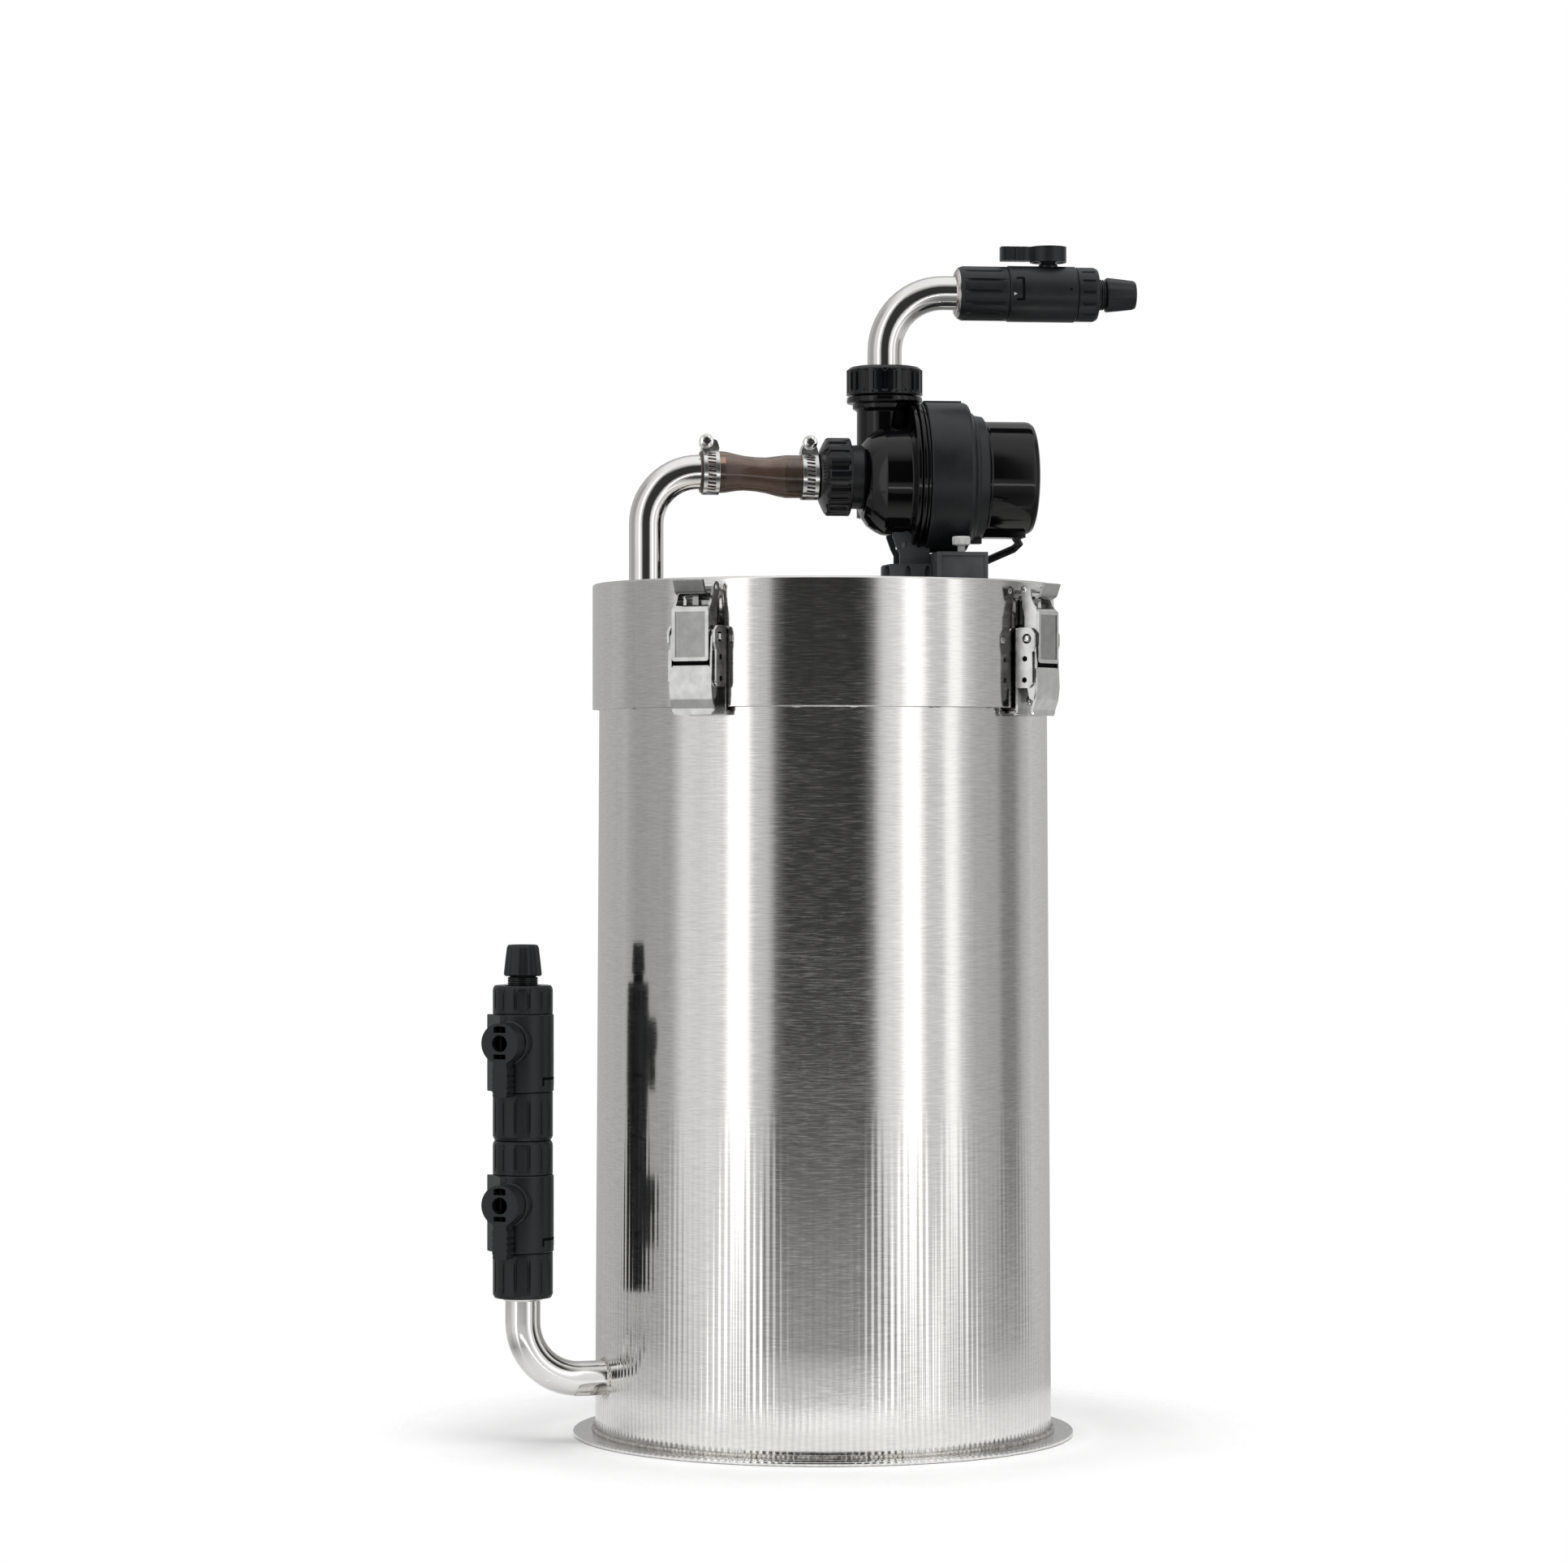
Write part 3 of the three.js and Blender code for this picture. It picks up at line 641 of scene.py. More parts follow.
def make_barrel():
    outside = [(shell_radius(z), z) for z in (2.8, 60, 140, 220, 300, 400)]
    rim = [(123.8, 461.2), (122.9, 462), (119, 462), (119, 460.8), (122.2, 460.6)]
    inside = [
        (122.6, 400), (124.0, 160), (124.6, 49), (124.4, 48), (112.6, 48), (112.6, 47), (124.6, 44.6),
        (124.9, 2.8),
    ]
    bore = moved(rod(8.6, 100, 150, 0, 40), INLET @ place(0, 0, INLET_Z) @ ALONG_X)
    shell = turned(outside + rim + inside, 200, 0.5)
    piece("shell", [shell], STEEL, "barrel", "barrel_shell", holes=[bore])
    base = turned(rect(0, 138.3, 0, 2.5), 200, 0.9)
    piece("base", [base], STEEL, "barrel", "base_plate")
    foot_weld = bead(Matrix.Identity(4), 126.6, 1.25, 300, 3.0, 3.2)
    stub_weld = bead(INLET @ place(124.9, 0, INLET_Z) @ ALONG_X, 10.1, 1.5, 30, 7.0)
    piece("barrel_welds", [foot_weld, stub_weld], WELD, "barrel")

    path = quarter_bend((115, 0, INLET_Z), (1, 0, 0), (0, 0, 1), 24.8, 32, 30)
    piece("inlet_pipe", [bent_pipe(path)], PIPE, "barrel", "inlet_elbow", at=INLET)


# ---- lid
def make_lid():
    profile = [
        (0, 467), (124.4, 467), (126.3, 465), (126.3, 404), (126.3, 400), (127.3, 400), (127.5, 400.2),
        (127.5, 401.2), (127.5, 468.1), (126.6, LID_TOP), (0, LID_TOP),
    ]
    bore = moved(rod(8.6, 440, 480, 0, 40), LINE @ place(LID_PIPE_X, 0, 0))
    piece("lid_cap", [turned(profile, 200, 0.8)], STEEL, "lid", "lid", holes=[bore])
    pipe_weld = bead(LINE @ place(LID_PIPE_X, 0, LID_TOP), 10.2, 1.5, 30, 5.0)
    mark = turned([(0, -0.5), (1.4, -0.4), (2.6, 0.1), (1.2, 0.7), (0, 0.8)], 12, 0.2)
    tacks = []
    for i, a in enumerate((-171, -150, -101, -83, -64, -47, -5, 18, 43, 81, 100, 133)):
        high = 400.6 + 0.5 * noise.noise(Vector((a, 1, 2)))
        at = turn(a + 2 * (i % 3)) @ place(126.9, 0, high) @ ALONG_X @ Matrix.Diagonal((0.45, 1.3, 0.6, 1))
        tacks.append(moved(mark, at))
    piece("lid_welds", [pipe_weld, *tacks], WELD, "lid")

    path = quarter_bend((LID_PIPE_X, 0, 452), (0, 0, 1), (1, 0, 0), 50.2, 29, 14.3)
    piece("lid_pipe", [bent_pipe(path)], PIPE, "lid", "lid_elbow", at=LINE)


# ---- draw latches
def mirrored(near, far, make):
    return [make(near, far), make(-far, -near)]


def across(radius, near, far, x, z, ease=0.25):
    """A short rod across the latch."""
    return moved(rod(radius, near, far, ease, 20), place(x, 0, z) @ turn(-90, "X"))


def make_latch(which, angle):
    at = turn(angle)

    def part(name, shapes, material, body, node=None, bevel=0.25):
        node = node and f"latch_{node}_{which}"
        piece(f"{name}_{which}", shapes, material, body, node, at, bevel)

    pivot, low_pin, hook = (135, 437), (135, 428), (132, 463.5)

    back = plate(rect(-15, 15, 395.6, 443), 128.3, 129.6, [(0, 437, 1.8), (0, 415, 1.8)], 2.0, "X")
    foot = strip([(124.2, 397.4), (128.4, 397.4)], 1.3, -15, 15)
    lip = plate(rect(-15, 15, 395.6, 399.2), 127.4, 128.7, (), 0.6, "X")

    def cheek(near, far):
        outline = [
            (129.2, 410.5), (136.2, 410.5), (138.4, 413), (138.2, 430), (139.6, 434), (139.6, 440),
            (136.6, 443), (129.2, 443),
        ]
        return plate(outline, near, far, [(133.8, 426.2, 1.5), (133.6, 414.8, 1.5), (*pivot, 2.7)], 1.6)

    def rivet(near, far):
        return across(1.7, near, far, *pivot, 0.6)

    bolt = turned([(0, 129.5), (3.0, 129.5), (2.6, 130.6), (0, 131)], 24, 0.5)
    bolts = [moved(bolt, place(0, 0, z) @ ALONG_X) for z in (404, 421)]
    stubs = mirrored(11.8, 14.2, lambda a, b: across(1.8, a, b, *pivot))
    shapes = [back, foot, lip, *mirrored(13.5, 14.9, cheek), *mirrored(14.8, 15.9, rivet), *stubs]
    part("latch_plate", shapes + bolts, PRESSED, "barrel", "base")

    # Painted shade: dead black discs inside the cheeks' holes.
    hole_shade = []
    for x, z, r in ((133.8, 426.2, 1.6), (133.6, 414.8, 1.6), (*pivot, 2.8)):
        hole_shade += mirrored(13.3, 13.9, lambda a, b: across(r, a, b, x, z))
    part("latch_hole_shade", hole_shade, SHADE_BLACK, "barrel", bevel=0)

    def side(near, far):
        outline = [
            (139.3, 437), (138.2, 440.2), (135, 441.3), (131.8, 440.2), (130.7, 437), (131.5, 424),
            (135.6, 405), (138.6, 403), (139.9, 408), (139.9, 424),
        ]
        return plate(outline, near, far, [(*pivot, 2.1)], 1.0)

    face = strip([(139.4, 421.0), (139.9, 411), (139.0, 404), (137.2, 399)], 1.2, -13.1, 13.1, 5)
    edge = [(-13.1, 399.4), (-12.8, 397.6), (-11.2, 395.8), (11.2, 395.8), (12.8, 397.6), (13.1, 399.4)]
    tongue = plate([*edge, (13.1, 400), (-13.1, 400)], 136.6, 137.8, (), 0.6, "X")
    rim = strip([(138.9, 421.2), (139.9, 421.2)], 1.0, -11.2, 11.2)
    pins = mirrored(9.8, 12.6, lambda a, b: across(1.5, a, b, *low_pin))
    shapes = [face, tongue, rim, *mirrored(11.9, 13.1, side), *pins]
    part("lever", shapes, PRESSED, f"lever_{which}", "lever")

    def arm(near, far):
        outline = [
            (131.8, 425.5), (139.3, 424.8), (139.6, 452), (137.4, 455.6), (135.6, 460.6), (135.0, 464.8),
            (132.4, 466.6), (129.8, 465.4), (129.3, 462.6), (130.4, 458), (131.8, 449),
        ]
        return plate(outline, near, far, [(*low_pin, 1.8)], 1.6)

    inside = rect(-9.3, 9.3, 426.0, 450.2)
    panel = plate(rect(-11.4, 11.4, 424.0, 452.2), 139.3, 140.6, [inside], 1.6, "X")
    sunk = plate(rect(-9.7, 9.7, 425.6, 450.6), 139.3, 140.3, (), 0.6, "X")
    curl = strip([(139.9, 451.2), (139.4, 452.6), (138.2, 453.2), (137.2, 453.0)], 1.0, -10.8, 10.8, 0.8)
    bar = across(1.5, -11.6, 11.6, *hook)
    # The sunk panel takes the darker steel: painted shade in the recess.
    part("claw_panel", [sunk], SHADED_PRESSED, f"claw_{which}", bevel=0.2)
    # Painted shade: a dead black strip that fills the gap between the lever and the claw's panel.
    gap_shade = block((136.6, 137.8), (-9.8, 9.8), (419.8, 426), 0)
    part("claw_gap_shade", [gap_shade], SHADE_BLACK, f"claw_{which}", bevel=0)
    part("claw", [panel, curl, bar, *mirrored(10.0, 11.4, arm)], PRESSED, f"claw_{which}", "claw")

    cup = [(128.6, 445), (128.6, 457.0), (130.6, 459.2), (137.6, 459.2), (140.2, 460.6), (142.4, 467)]
    keeper = strip(cup, 1.5, -9.2, 9.2, 2.0)
    riser = plate(rect(-4.2, -0.6, 446, 461), 128.4, 131.0, ease=0.8, across="X")
    pad = plate(rect(-9.2, 9.2, 445, 458.5), 127.9, 129.1, [(3.6, 450.5, 1.7)], 1.5, "X")
    # The keeper takes the darker steel: painted shade on the hood.
    part("keeper", [keeper, riser, pad], SHADED_PRESSED, "lid", "strike")


# ---- hose and clamps
def sagged(x):
    """Height of the hose's centre line between the lid's pipe and the pump."""
    t = min(max((x + 55) / 35, 0), 1)
    return HOSE_Z + (PUMP_Z - HOSE_Z) * t * t * (3 - 2 * t)


def clamp(x, hose_r, head_at):
    """A perforated band with its saddle, worm screw and cross-slotted head on top."""
    slots, rows, width, wall = 34, 8, 9.0, 0.7
    count = slots * 4
    points, faces = [], []
    ids = {}
    for layer, r in enumerate((hose_r + 0.3, hose_r + 0.3 + wall)):
        for row in range(rows + 1):
            for c in range(count):
                a = TAU * (c + 0.26 * (row - rows / 2)) / count
                ids[layer, row, c] = len(points)
                points.append(polar(r, a, width * (row / rows - 0.5)))

    def solid(row, c):
        return 0 <= row < rows and not (c % 4 in (1, 2) and 2 <= row < rows - 2)

    for row in range(rows):
        for c in range(count):
            if not solid(row, c):
                continue
            d = (c + 1) % count
            corners = ((row, c), (row, d), (row + 1, d), (row + 1, c))
            faces.append(tuple(ids[1, r, k] for r, k in corners))
            faces.append(tuple(ids[0, r, k] for r, k in corners)[::-1])
            beside = ((row - 1, c), (row, d), (row + 1, c), (row, (c - 1) % count))
            for k, (r, n) in enumerate(beside):
                if not solid(r, n):
                    a, b = corners[k], corners[(k + 1) % 4]
                    faces.append((ids[1, *b], ids[1, *a], ids[0, *a], ids[0, *b]))
    top = LINE @ place(x, 0, sagged(x))
    band = moved((points, faces), top @ ALONG_X)
    lift = hose_r + 5 + head_at[1]
    saddle = plate(
        [(-4.9, 0.9), (4.9, 0.9), (4.4, 3.4), (3.4, 6.2), (0, 7.4), (-3.4, 6.2), (-4.4, 3.4)], -4.6, 6.2,
        ease=1.2,
    )
    saddle = moved(saddle, top @ place(0, 0, hose_r - 0.6))
    tongue = moved(block((-3.6, 3.6), (5.4, 10.4), (0, 0.7), 0.8), top @ place(0, 0, hose_r - 0.4))
    head = turned(
        [(0, -9.4), (1.9, -9.4), (3.6, -8.6), (3.9, -7.4), (3.9, -5.2), (2.6, -4.6), (2.6, 8), (0, 8)], 24,
        0.3,
    )
    screw_at = top @ place(head_at[0], 0, lift) @ turn(-90, "X")
    head = moved(head, screw_at)
    threads = [
        moved(turned([(2.4, y), (3.1, y + 0.35), (2.4, y + 0.7)], 20, 0), screw_at)
        for y in (6.3, 7.1)
    ]
    return [band], [saddle, tongue, *threads], head, top @ place(head_at[0], -9.0, lift)


def make_hose():
    profile = [
        (11.5, -68.7), (11.8, -67.2), (11.4, -65.4), (11.3, -62.9), (11.6, -57), (11.3, -54), (10.2, -48.5),
        (9.6, -44), (9.5, -38), (9.9, -32), (11.0, -26.5), (11.9, -21), (11.9, -13), (11.6, -10),
        (11.7, -6), (12.1, -4.6), (12.0, -3.5), (10.3, -3.5), (10.3, -20.2), (8.3, -30), (8.0, -38),
        (8.4, -47), (9.9, -54.4), (9.9, -68.7),
    ]
    points, faces = moved(turned(profile, 72, 0.8), ALONG_X)
    points = [LINE @ Vector((p.x, p.y, p.z + sagged(p.x))) for p in points]
    piece("hose", [(points, faces)], SMOKE, "lid", "coupling_hose")

    for side, x, hose_r, head_at in (("left", -62.9, 11.7, (-2.6, 0)), ("right", -7.9, 12, (0, 1.6))):
        band, saddle, head, slot_at = clamp(x, hose_r, head_at)
        cross = [
            block((-2.3, 2.3), (-1.2, 0.9), (-0.45, 0.45), 0),
            block((-0.45, 0.45), (-1.2, 0.9), (-2.3, 2.3), 0),
        ]
        name = f"hose_clamp_{side}"
        piece(f"clamp_{side}", band + saddle, PRESSED, "lid", name, bevel=0.12)
        piece(
            f"clamp_screw_{side}", [head], PIPE, "lid",
            holes=[moved(c, slot_at) for c in cross],
        )


# ---- pump
def ribbed(ribs, depth, groove, z0, z1, fade=1.6):
    """Grooves between the ribs of a nut, which run out near its two ends."""

    def wave(a, r, z):
        at = (a / TAU * ribs % 1.0 - 0.5) * 2
        inside = max(0.0, 1 - abs(at) / groove)
        ends = min(max((z - z0) / fade, 0), 1) * min(max((z1 - z) / fade, 0), 1)
        return r - depth * min(1.0, inside * 2.2) * ends

    return wave


def nut(z0, z1, radius, hole, ribs, taper, run, z_ribs, depth, groove):
    """A union nut: ribs between a chamfered end and a plain rim."""
    grooved = ribbed(ribs, depth, groove, *z_ribs)
    steps = [z0 + (z1 - z0) * k / 20 for k in range(21)]
    wall = [(radius - taper * max(0, 1 - (z - z0) / run) ** 1.2, z) for z in steps]
    profile = [(hole, z0), *wall, (hole, z1)]

    def wave(angle, r, z):
        return grooved(angle, r, z) if r > hole + 2 else r

    return turned(profile, ribs * 14, 0.5, wave)


def make_pump():
    tail = [
        (7.5, -20.2), (8.9, -20.2), (9.9, -17.2), (9.2, -17.0), (9.2, -16.2), (10.1, -13.2), (9.2, -13.0),
        (9.2, -12.2), (10.1, -9.2), (9.4, -9.0), (9.6, 2), (9.9, 4.9), (16, 4.9), (16, 8.5), (7.5, 8.5),
    ]
    piece("inlet_tail", [turned(tail, 64, 0.3)], MATTE, "lid", "pump_inlet_tail", at=AXIS)

    inlet = nut(-3.0, 14.0, 21.6, 10.8, 16, 9.4, 4.8, (0.6, 13.4), 1.1, 0.5)
    lip = turned([(17.5, 12.9), (21.4, 12.9), (21.8, 13.4), (21.6, 14.3), (17.5, 14.4)], 96, 0.3)
    piece("inlet_nut", [inlet, lip], NUT, "lid", "inlet_union_nut", AXIS)

    collar = turned(
        [(8, 8.8), (17.8, 8.8), (17.9, 13), (17.6, 15.6), (17.8, 21), (17.2, 22.6), (8, 22.6)], 96, 0.6,
    )
    piece("volute_inlet", [collar], MATTE, "lid", at=AXIS)

    bulge = turned(
        [
            (8, 20.8), (18.4, 20.8), (20.8, 21.8), (24.8, 24.6), (27.8, 28.8), (29.6, 32.4), (30, 36),
            (30, 44), (30.5, 46.4), (33.4, 47.8), (33.6, 49.2), (8, 49.2),
        ],
        128, 1.6, steps=5,
    )
    bulge = moved(bulge, LINE @ place(0, 0, 526.6) @ ALONG_X)
    flanges = [
        moved(turned(rect(24, r, a, b), 160, 0.5), AXIS)
        for a, b, r in ((47.7, 50.0, 40.2), (50.6, 52.8, 41.5), (53.4, 54.9, 40.8))
    ]
    line = [
        (9, 507), (15.6, 507), (15.4, 566), (16.2, 567), (17.7, 567.8), (17.8, 570.4), (20.8, 570.8),
        (21.1, 572), (20.9, 574.2), (18, 574.9), (18, 577.8), (9, 577.8),
    ]
    tube = moved(turned(line, 96, 0.5), NECK)
    web = plate([(-13, 2), (-13, 37), (16, 37), (18, 24), (18, 2)], 11, 17, ease=4)
    web = moved(web, LINE @ place(NECK_X, 0, PUMP_Z))
    piece("volute", [bulge, *flanges, tube, web], GLOSS, "lid", "volute_housing")

    outlet = nut(575.3, 589.4, 21.2, 10.6, 24, 0, 1, (576.2, 589.8), 1.0, 0.55)
    crown = turned(
        [
            (10.6, 588.6), (20.9, 588.6), (20.7, 589.6), (18.8, 591.1), (15.6, 591.7), (11.2, 591.7),
            (10.6, 591.2),
        ],
        96, 0.6,
    )
    piece("outlet_nut", [outlet, crown], NUT, "lid", "outlet_union_nut", NECK)

    path = quarter_bend((NECK_X, NECK_Y, 578.6), (0, 0, 1), (1, 0, 0), 21.4, 33, 30)
    seat = turned([(8.6, 578.3), (16, 578.3), (16, 581.6), (9.6, 582)], 64, 0.4)
    piece("outlet_pipe", [moved(bent_pipe(path), LINE), moved(seat, NECK)], PIPE, "lid", "outlet_elbow")

    drum = turned(
        [
            (14.4, 55.2), (41.3, 55.2), (41.8, 55.9), (41.7, 77.4), (41.0, 79.2), (37.2, 81.0),
            (36.2, 81.3), (36.0, 81.8), (35.8, 82.6), (34.7, 83.4), (34.0, 88.0), (33.0, 88.8), (28, 88.8),
            (28, 61), (14.4, 61),
        ],
        160, 0.5,
    )
    can = turned([(0, 103.4), (14.1, 103.4), (14.1, 59), (13.1, 59), (13.1, 102.4), (0, 102.4)], 64, 0.3)
    lug = moved(block((79.5, 88.4), (-4.5, 4.5), (-36.6, -32.4), 0.8), PUMP)
    ridge = moved(block((56, 77), (-3.2, 3.2), (41.0, 42.5), 0.6), PUMP)
    pin = turned([(0, 0), (1.1, 0), (0.9, 0.5), (0, 0.6)], 16, 0.2)
    pin = moved(pin, AXIS @ turn(-92) @ place(35.2, 0, 82.4) @ ALONG_X)
    shapes = [moved(drum, AXIS), moved(can, AXIS), lug, ridge, pin]
    piece("pump_drum", shapes, MATTE, "lid", "pump_body")

    back = turned(
        [
            (0, 113.4), (28.4, 113.4), (28.4, 89.1), (31.5, 89.1), (31.6, 89.8), (31.3, 90.6),
            (31.3, 112.6), (31.0, 114.4), (29.8, 116.4), (27.8, 117.2), (0, 117.2),
        ],
        128, 1.2, steps=4,
    )
    ledge = moved(block((89.4, 112.4), (-9, 9), (-33.4, -29.8), 1.2), PUMP)
    pip = turned([(0, 0), (2.4, 0), (2.2, 0.3), (0, 0.4)], 24, 0.2)
    pips = [moved(pip, AXIS @ place(*polar(22, a, 116.9))) for a in (0.6, 2.7, 4.8)]
    piece("motor_shell", [moved(back, AXIS), ledge, *pips], GLOSS, "lid", "motor_can")


def make_foot():
    oval = arc(0, 475.4, 1.55, 4, [k * DEG * 15 for k in range(24)])
    ovals = [[(x + dx, z) for dx, z in oval] for x in (32.9, 44.6, 55.6)]
    front = plate(
        [(30.2, ON_LID), (57.8, ON_LID), (57.8, 480.4), (35, 480.2), (30.2, 479.2)], -20, -17.6, ovals, 0.8,
    )
    inner = plate([(30.8, 469.6), (57.4, 469.6), (57.4, 480), (30.8, 479)], -18.2, -16.8, (), 0.6)
    bed = block((35, 57.8), (-17, 20), (ON_LID, 480.2), 1.0)
    outline = [
        (41.2, 479.6), (57.8, 479.6), (57.8, 498), (37.1, 498), (37.1, 496), (39.6, 489), (41.2, 486),
    ]
    web = plate(outline, -13, -10.4, [rect(42.2, 45.2, 489.6, 493)], 0.8)
    web_back = moved(web, place(0, 23.4, 0))
    saddle = plate(rect(44, 57.6, 484, 500.5), -12, 12, ease=1.0)
    for p in saddle[0]:
        if p.z >= 490:  # the saddle's top follows the round of the housing
            p.z = 526.6 - sqrt(max(30 ** 2 - p.y ** 2, 0)) - 0.2
    shapes = [front, inner, bed, web, web_back, saddle]
    piece("foot_bracket", shapes, FOOT, "lid", "pump_foot", at=LINE, bevel=0.35)

    body = block((58.1, 86.4), (-39, 39), (ON_LID, 486.2), 1.4)
    screw_hole = moved(rod(2.6, 460, 500, 0, 24), LINE @ SCREW_AT)
    piece("foot_mount", [body], FOOT, "lid", "foot_block", at=LINE, bevel=0.6, holes=[screw_hole])
    window = rect(60.4, 84.2, 471.6, 484.2)
    lip = plate(rect(59.0, 85.6, 470.0, 485.6), -39.5, -38.7, [window], 0.6)
    piece("foot_trim", [lip], FOOT, "lid", at=LINE, bevel=0.2)

    def knurl(a, r, z):
        return r - (0.28 if r > 4 and 490.6 < z < 494.4 and cos(a * 20) < 0 else 0)

    line = [
        (0, 478), (2, 478), (2, 489.4), (3.4, 489.8), (4.8, 490.2), (5.0, 490.8), (5.0, 494.2),
        (4.6, 494.8), (2.0, 494.9), (1.6, 494.3), (0, 494.3),
    ]
    piece("thumb_knob", [turned(line, 80, 0.25, knurl)], CLEAR, "lid", "thumb_screw", at=LINE @ SCREW_AT)


# ---- taps, whose size is a share of the inlet taps' size
TAP_RIBS = 14
CASE_R = 16.8
COLLAR_R = 16.3
GAP = 0.3  # between two parts of a tap


def tap_collar(size, z0, z1, flip=False):
    """A collar of the tap: long grooves between flat ribs, a chamfered free end, and a sunk face."""
    radius = COLLAR_R * size
    steps = [z0 + (z1 - z0) * k / 12 for k in range(13)]

    def outline(z):
        free = (z1 - z) if flip else (z - z0)
        return radius - 1.0 * max(0.0, 1 - free / 1.8)

    groove = ribbed(TAP_RIBS, 1.0, 0.20, z0 + (2.0 if flip else 2.4), z1 - 2.2, 0.7)

    def wave(a, r, z):
        return groove(a, r, z) if r > 11.5 else r

    profile = [(10.0, z0 + 0.3), (14.2 * size, z0 + 0.3), *[(outline(z), z) for z in steps], (10.0, z1)]
    return turned(profile, TAP_RIBS * 16, 0.4, wave)


def tap_body(size, z0, z1, knob_z, padded):
    r = CASE_R * size
    skin = [(6.2, z0), (r - 0.5, z0), (r, z0 + 0.6), (r, z1 - 0.6), (r - 0.5, z1), (6.2, z1)]
    barrel = turned(skin, 128, 0.3)
    wide = 12 if padded else 5.4
    boss = turned([(4.4, 6), (wide, 6), (wide, r + 0.6), (wide - 0.8, r + 1.3), (4.4, r + 1.3)], 72, 0.5)
    boss = moved(boss, place(0, 0, knob_z) @ ALONG_X)
    shapes = [barrel, boss]
    if padded:
        pad = plate(rect(-9.8, 9.8, z0 + 0.2, z1 - 0.2), r - 3.0, r + 0.15, ease=0.8, across="X")
        shapes.append(moved(pad, turn(-42)))
    return shapes


def inlay(radius, low, high, z0, z1):
    """A thin curved patch of the tap's skin between two angles and two heights."""
    steps = max(2, round((high - low) / 4))
    points, faces = [], []
    for k in range(steps + 1):
        a = (low + (high - low) * k / steps) * DEG
        for r, z in ((radius, z0), (radius, z1), (radius - 0.8, z1), (radius - 0.8, z0)):
            points.append(polar(r, a, z))
    for k in range(steps):
        for c in range(4):
            a, b = 4 * k + c, 4 * k + (c + 1) % 4
            faces.append((a, a + 4, b + 4, b))
    faces += [(0, 1, 2, 3), (4 * steps + 3, 4 * steps + 2, 4 * steps + 1, 4 * steps)]
    return points, faces


def slot_shade(size, z0, first):
    """Painted shade: thin dark patches flush on the skin, in the bracket shape of the slot round the tap's
    clip.
    """
    r = CASE_R * size + 0.06
    return [
        inlay(r, first, first + 50, z0 + 6.6, z0 + 8.1),
        inlay(r, first, first + 4.6, z0 + 3.4, z0 + 6.6),
        inlay(r, first + 45.4, first + 50, z0 + 3.4, z0 + 6.6),
    ]


def tap_handle(size, knob_z, arm_length):
    """The knob with its two windows and hollow hub, and the scalloped arm."""
    reach = CASE_R * size + 2.0
    outer = 11 * size
    circle = arc(0, 0, outer, outer, [k * 6 * DEG for k in range(60)])
    rim = 9.5 * size
    half = 3.7 * size
    top = arc(0, 0, rim, rim, [k * DEG for k in range(68, 113, 4)])
    upper = [(half, 5.8 * size), *top, (-half, 5.8 * size)]
    lower = [(x, -z) for x, z in upper]
    knob = plate(circle, reach + 0.1, reach + 8.8, [(0, 0, 4.6 * size), upper, lower], across="X")
    knob = moved(knob, place(0, 0, knob_z))
    hub = moved(turned(rect(0, 4.0, -13, 2.8), 32, 0.3), place(reach, 0, knob_z) @ ALONG_X)
    sides = [(4.6, -outer + 2.5), (4.0, -outer), (3.9, -outer - 1.6), (4.5, -outer - 3)]
    first = -outer - 4
    scallops = 4
    pitch = (arm_length - outer - 5.4) / scallops
    for k in range(scallops):
        sides += [
            (half_width, first - (k + t) * pitch)
            for half_width, t in ((4.5, 0), (4.5, 0.55), (4.0, 0.72), (4.0, 0.88))
        ]
    sides += [(4.5, -arm_length + 1.2), (3.5, -arm_length)]
    arm = sides[::-1] + [(-x, z) for x, z in sides]
    arm = moved(plate(arm, reach + 0.8, reach + 8.6, across="X"), place(0, 0, knob_z))
    return [knob, hub, arm]


def knob_shade(size, knob_z):
    """Painted shade: the dark floor behind the knob's windows and hollow, and the dark bar between them."""
    reach = CASE_R * size + 2.0
    floor = turned(rect(0, 10.2 * size, 3.2, 4.2), 48, 0.2)
    cross = block((2.4, 7.4), (-0.5, 0.5), (-9.4 * size, 9.4 * size), 0)
    return [moved(floor, place(reach, 0, knob_z) @ ALONG_X), moved(cross, place(reach, 0, knob_z))]


def hose_end(size, z1):
    """The last collar's neck, thread and nipple, and the tapered nut."""
    nipple = [
        (5, z1 - 1), (8.0, z1 - 1), (8.0, z1 + 4.4), (6.9, z1 + 4.8), (5.6, z1 + 17.6), (4.4, z1 + 18),
    ]
    rings = [
        turned([(7.4, z1 + k), (8.7, z1 + k + 0.4), (7.4, z1 + k + 0.8)], 48, 0)
        for k in (0.8, 2.0, 3.2)
    ]
    wide = COLLAR_R * size * 0.645

    def facets(a, r, z):
        return r * (1 - 0.035 * (1 + cos(a * 12)) / 2) if r > 7.6 else r

    nut_line = [
        (7.3, z1 + 5.1), (wide - 0.6, z1 + 5.1), (wide, z1 + 6.0), (wide * 0.93, z1 + 13),
        (wide * 0.84, z1 + 20.6), (wide * 0.76, z1 + 22), (7.3, z1 + 22),
    ]
    return [turned(nipple, 48, 0.3), *rings], turned(nut_line, 96, 0.6, facets)


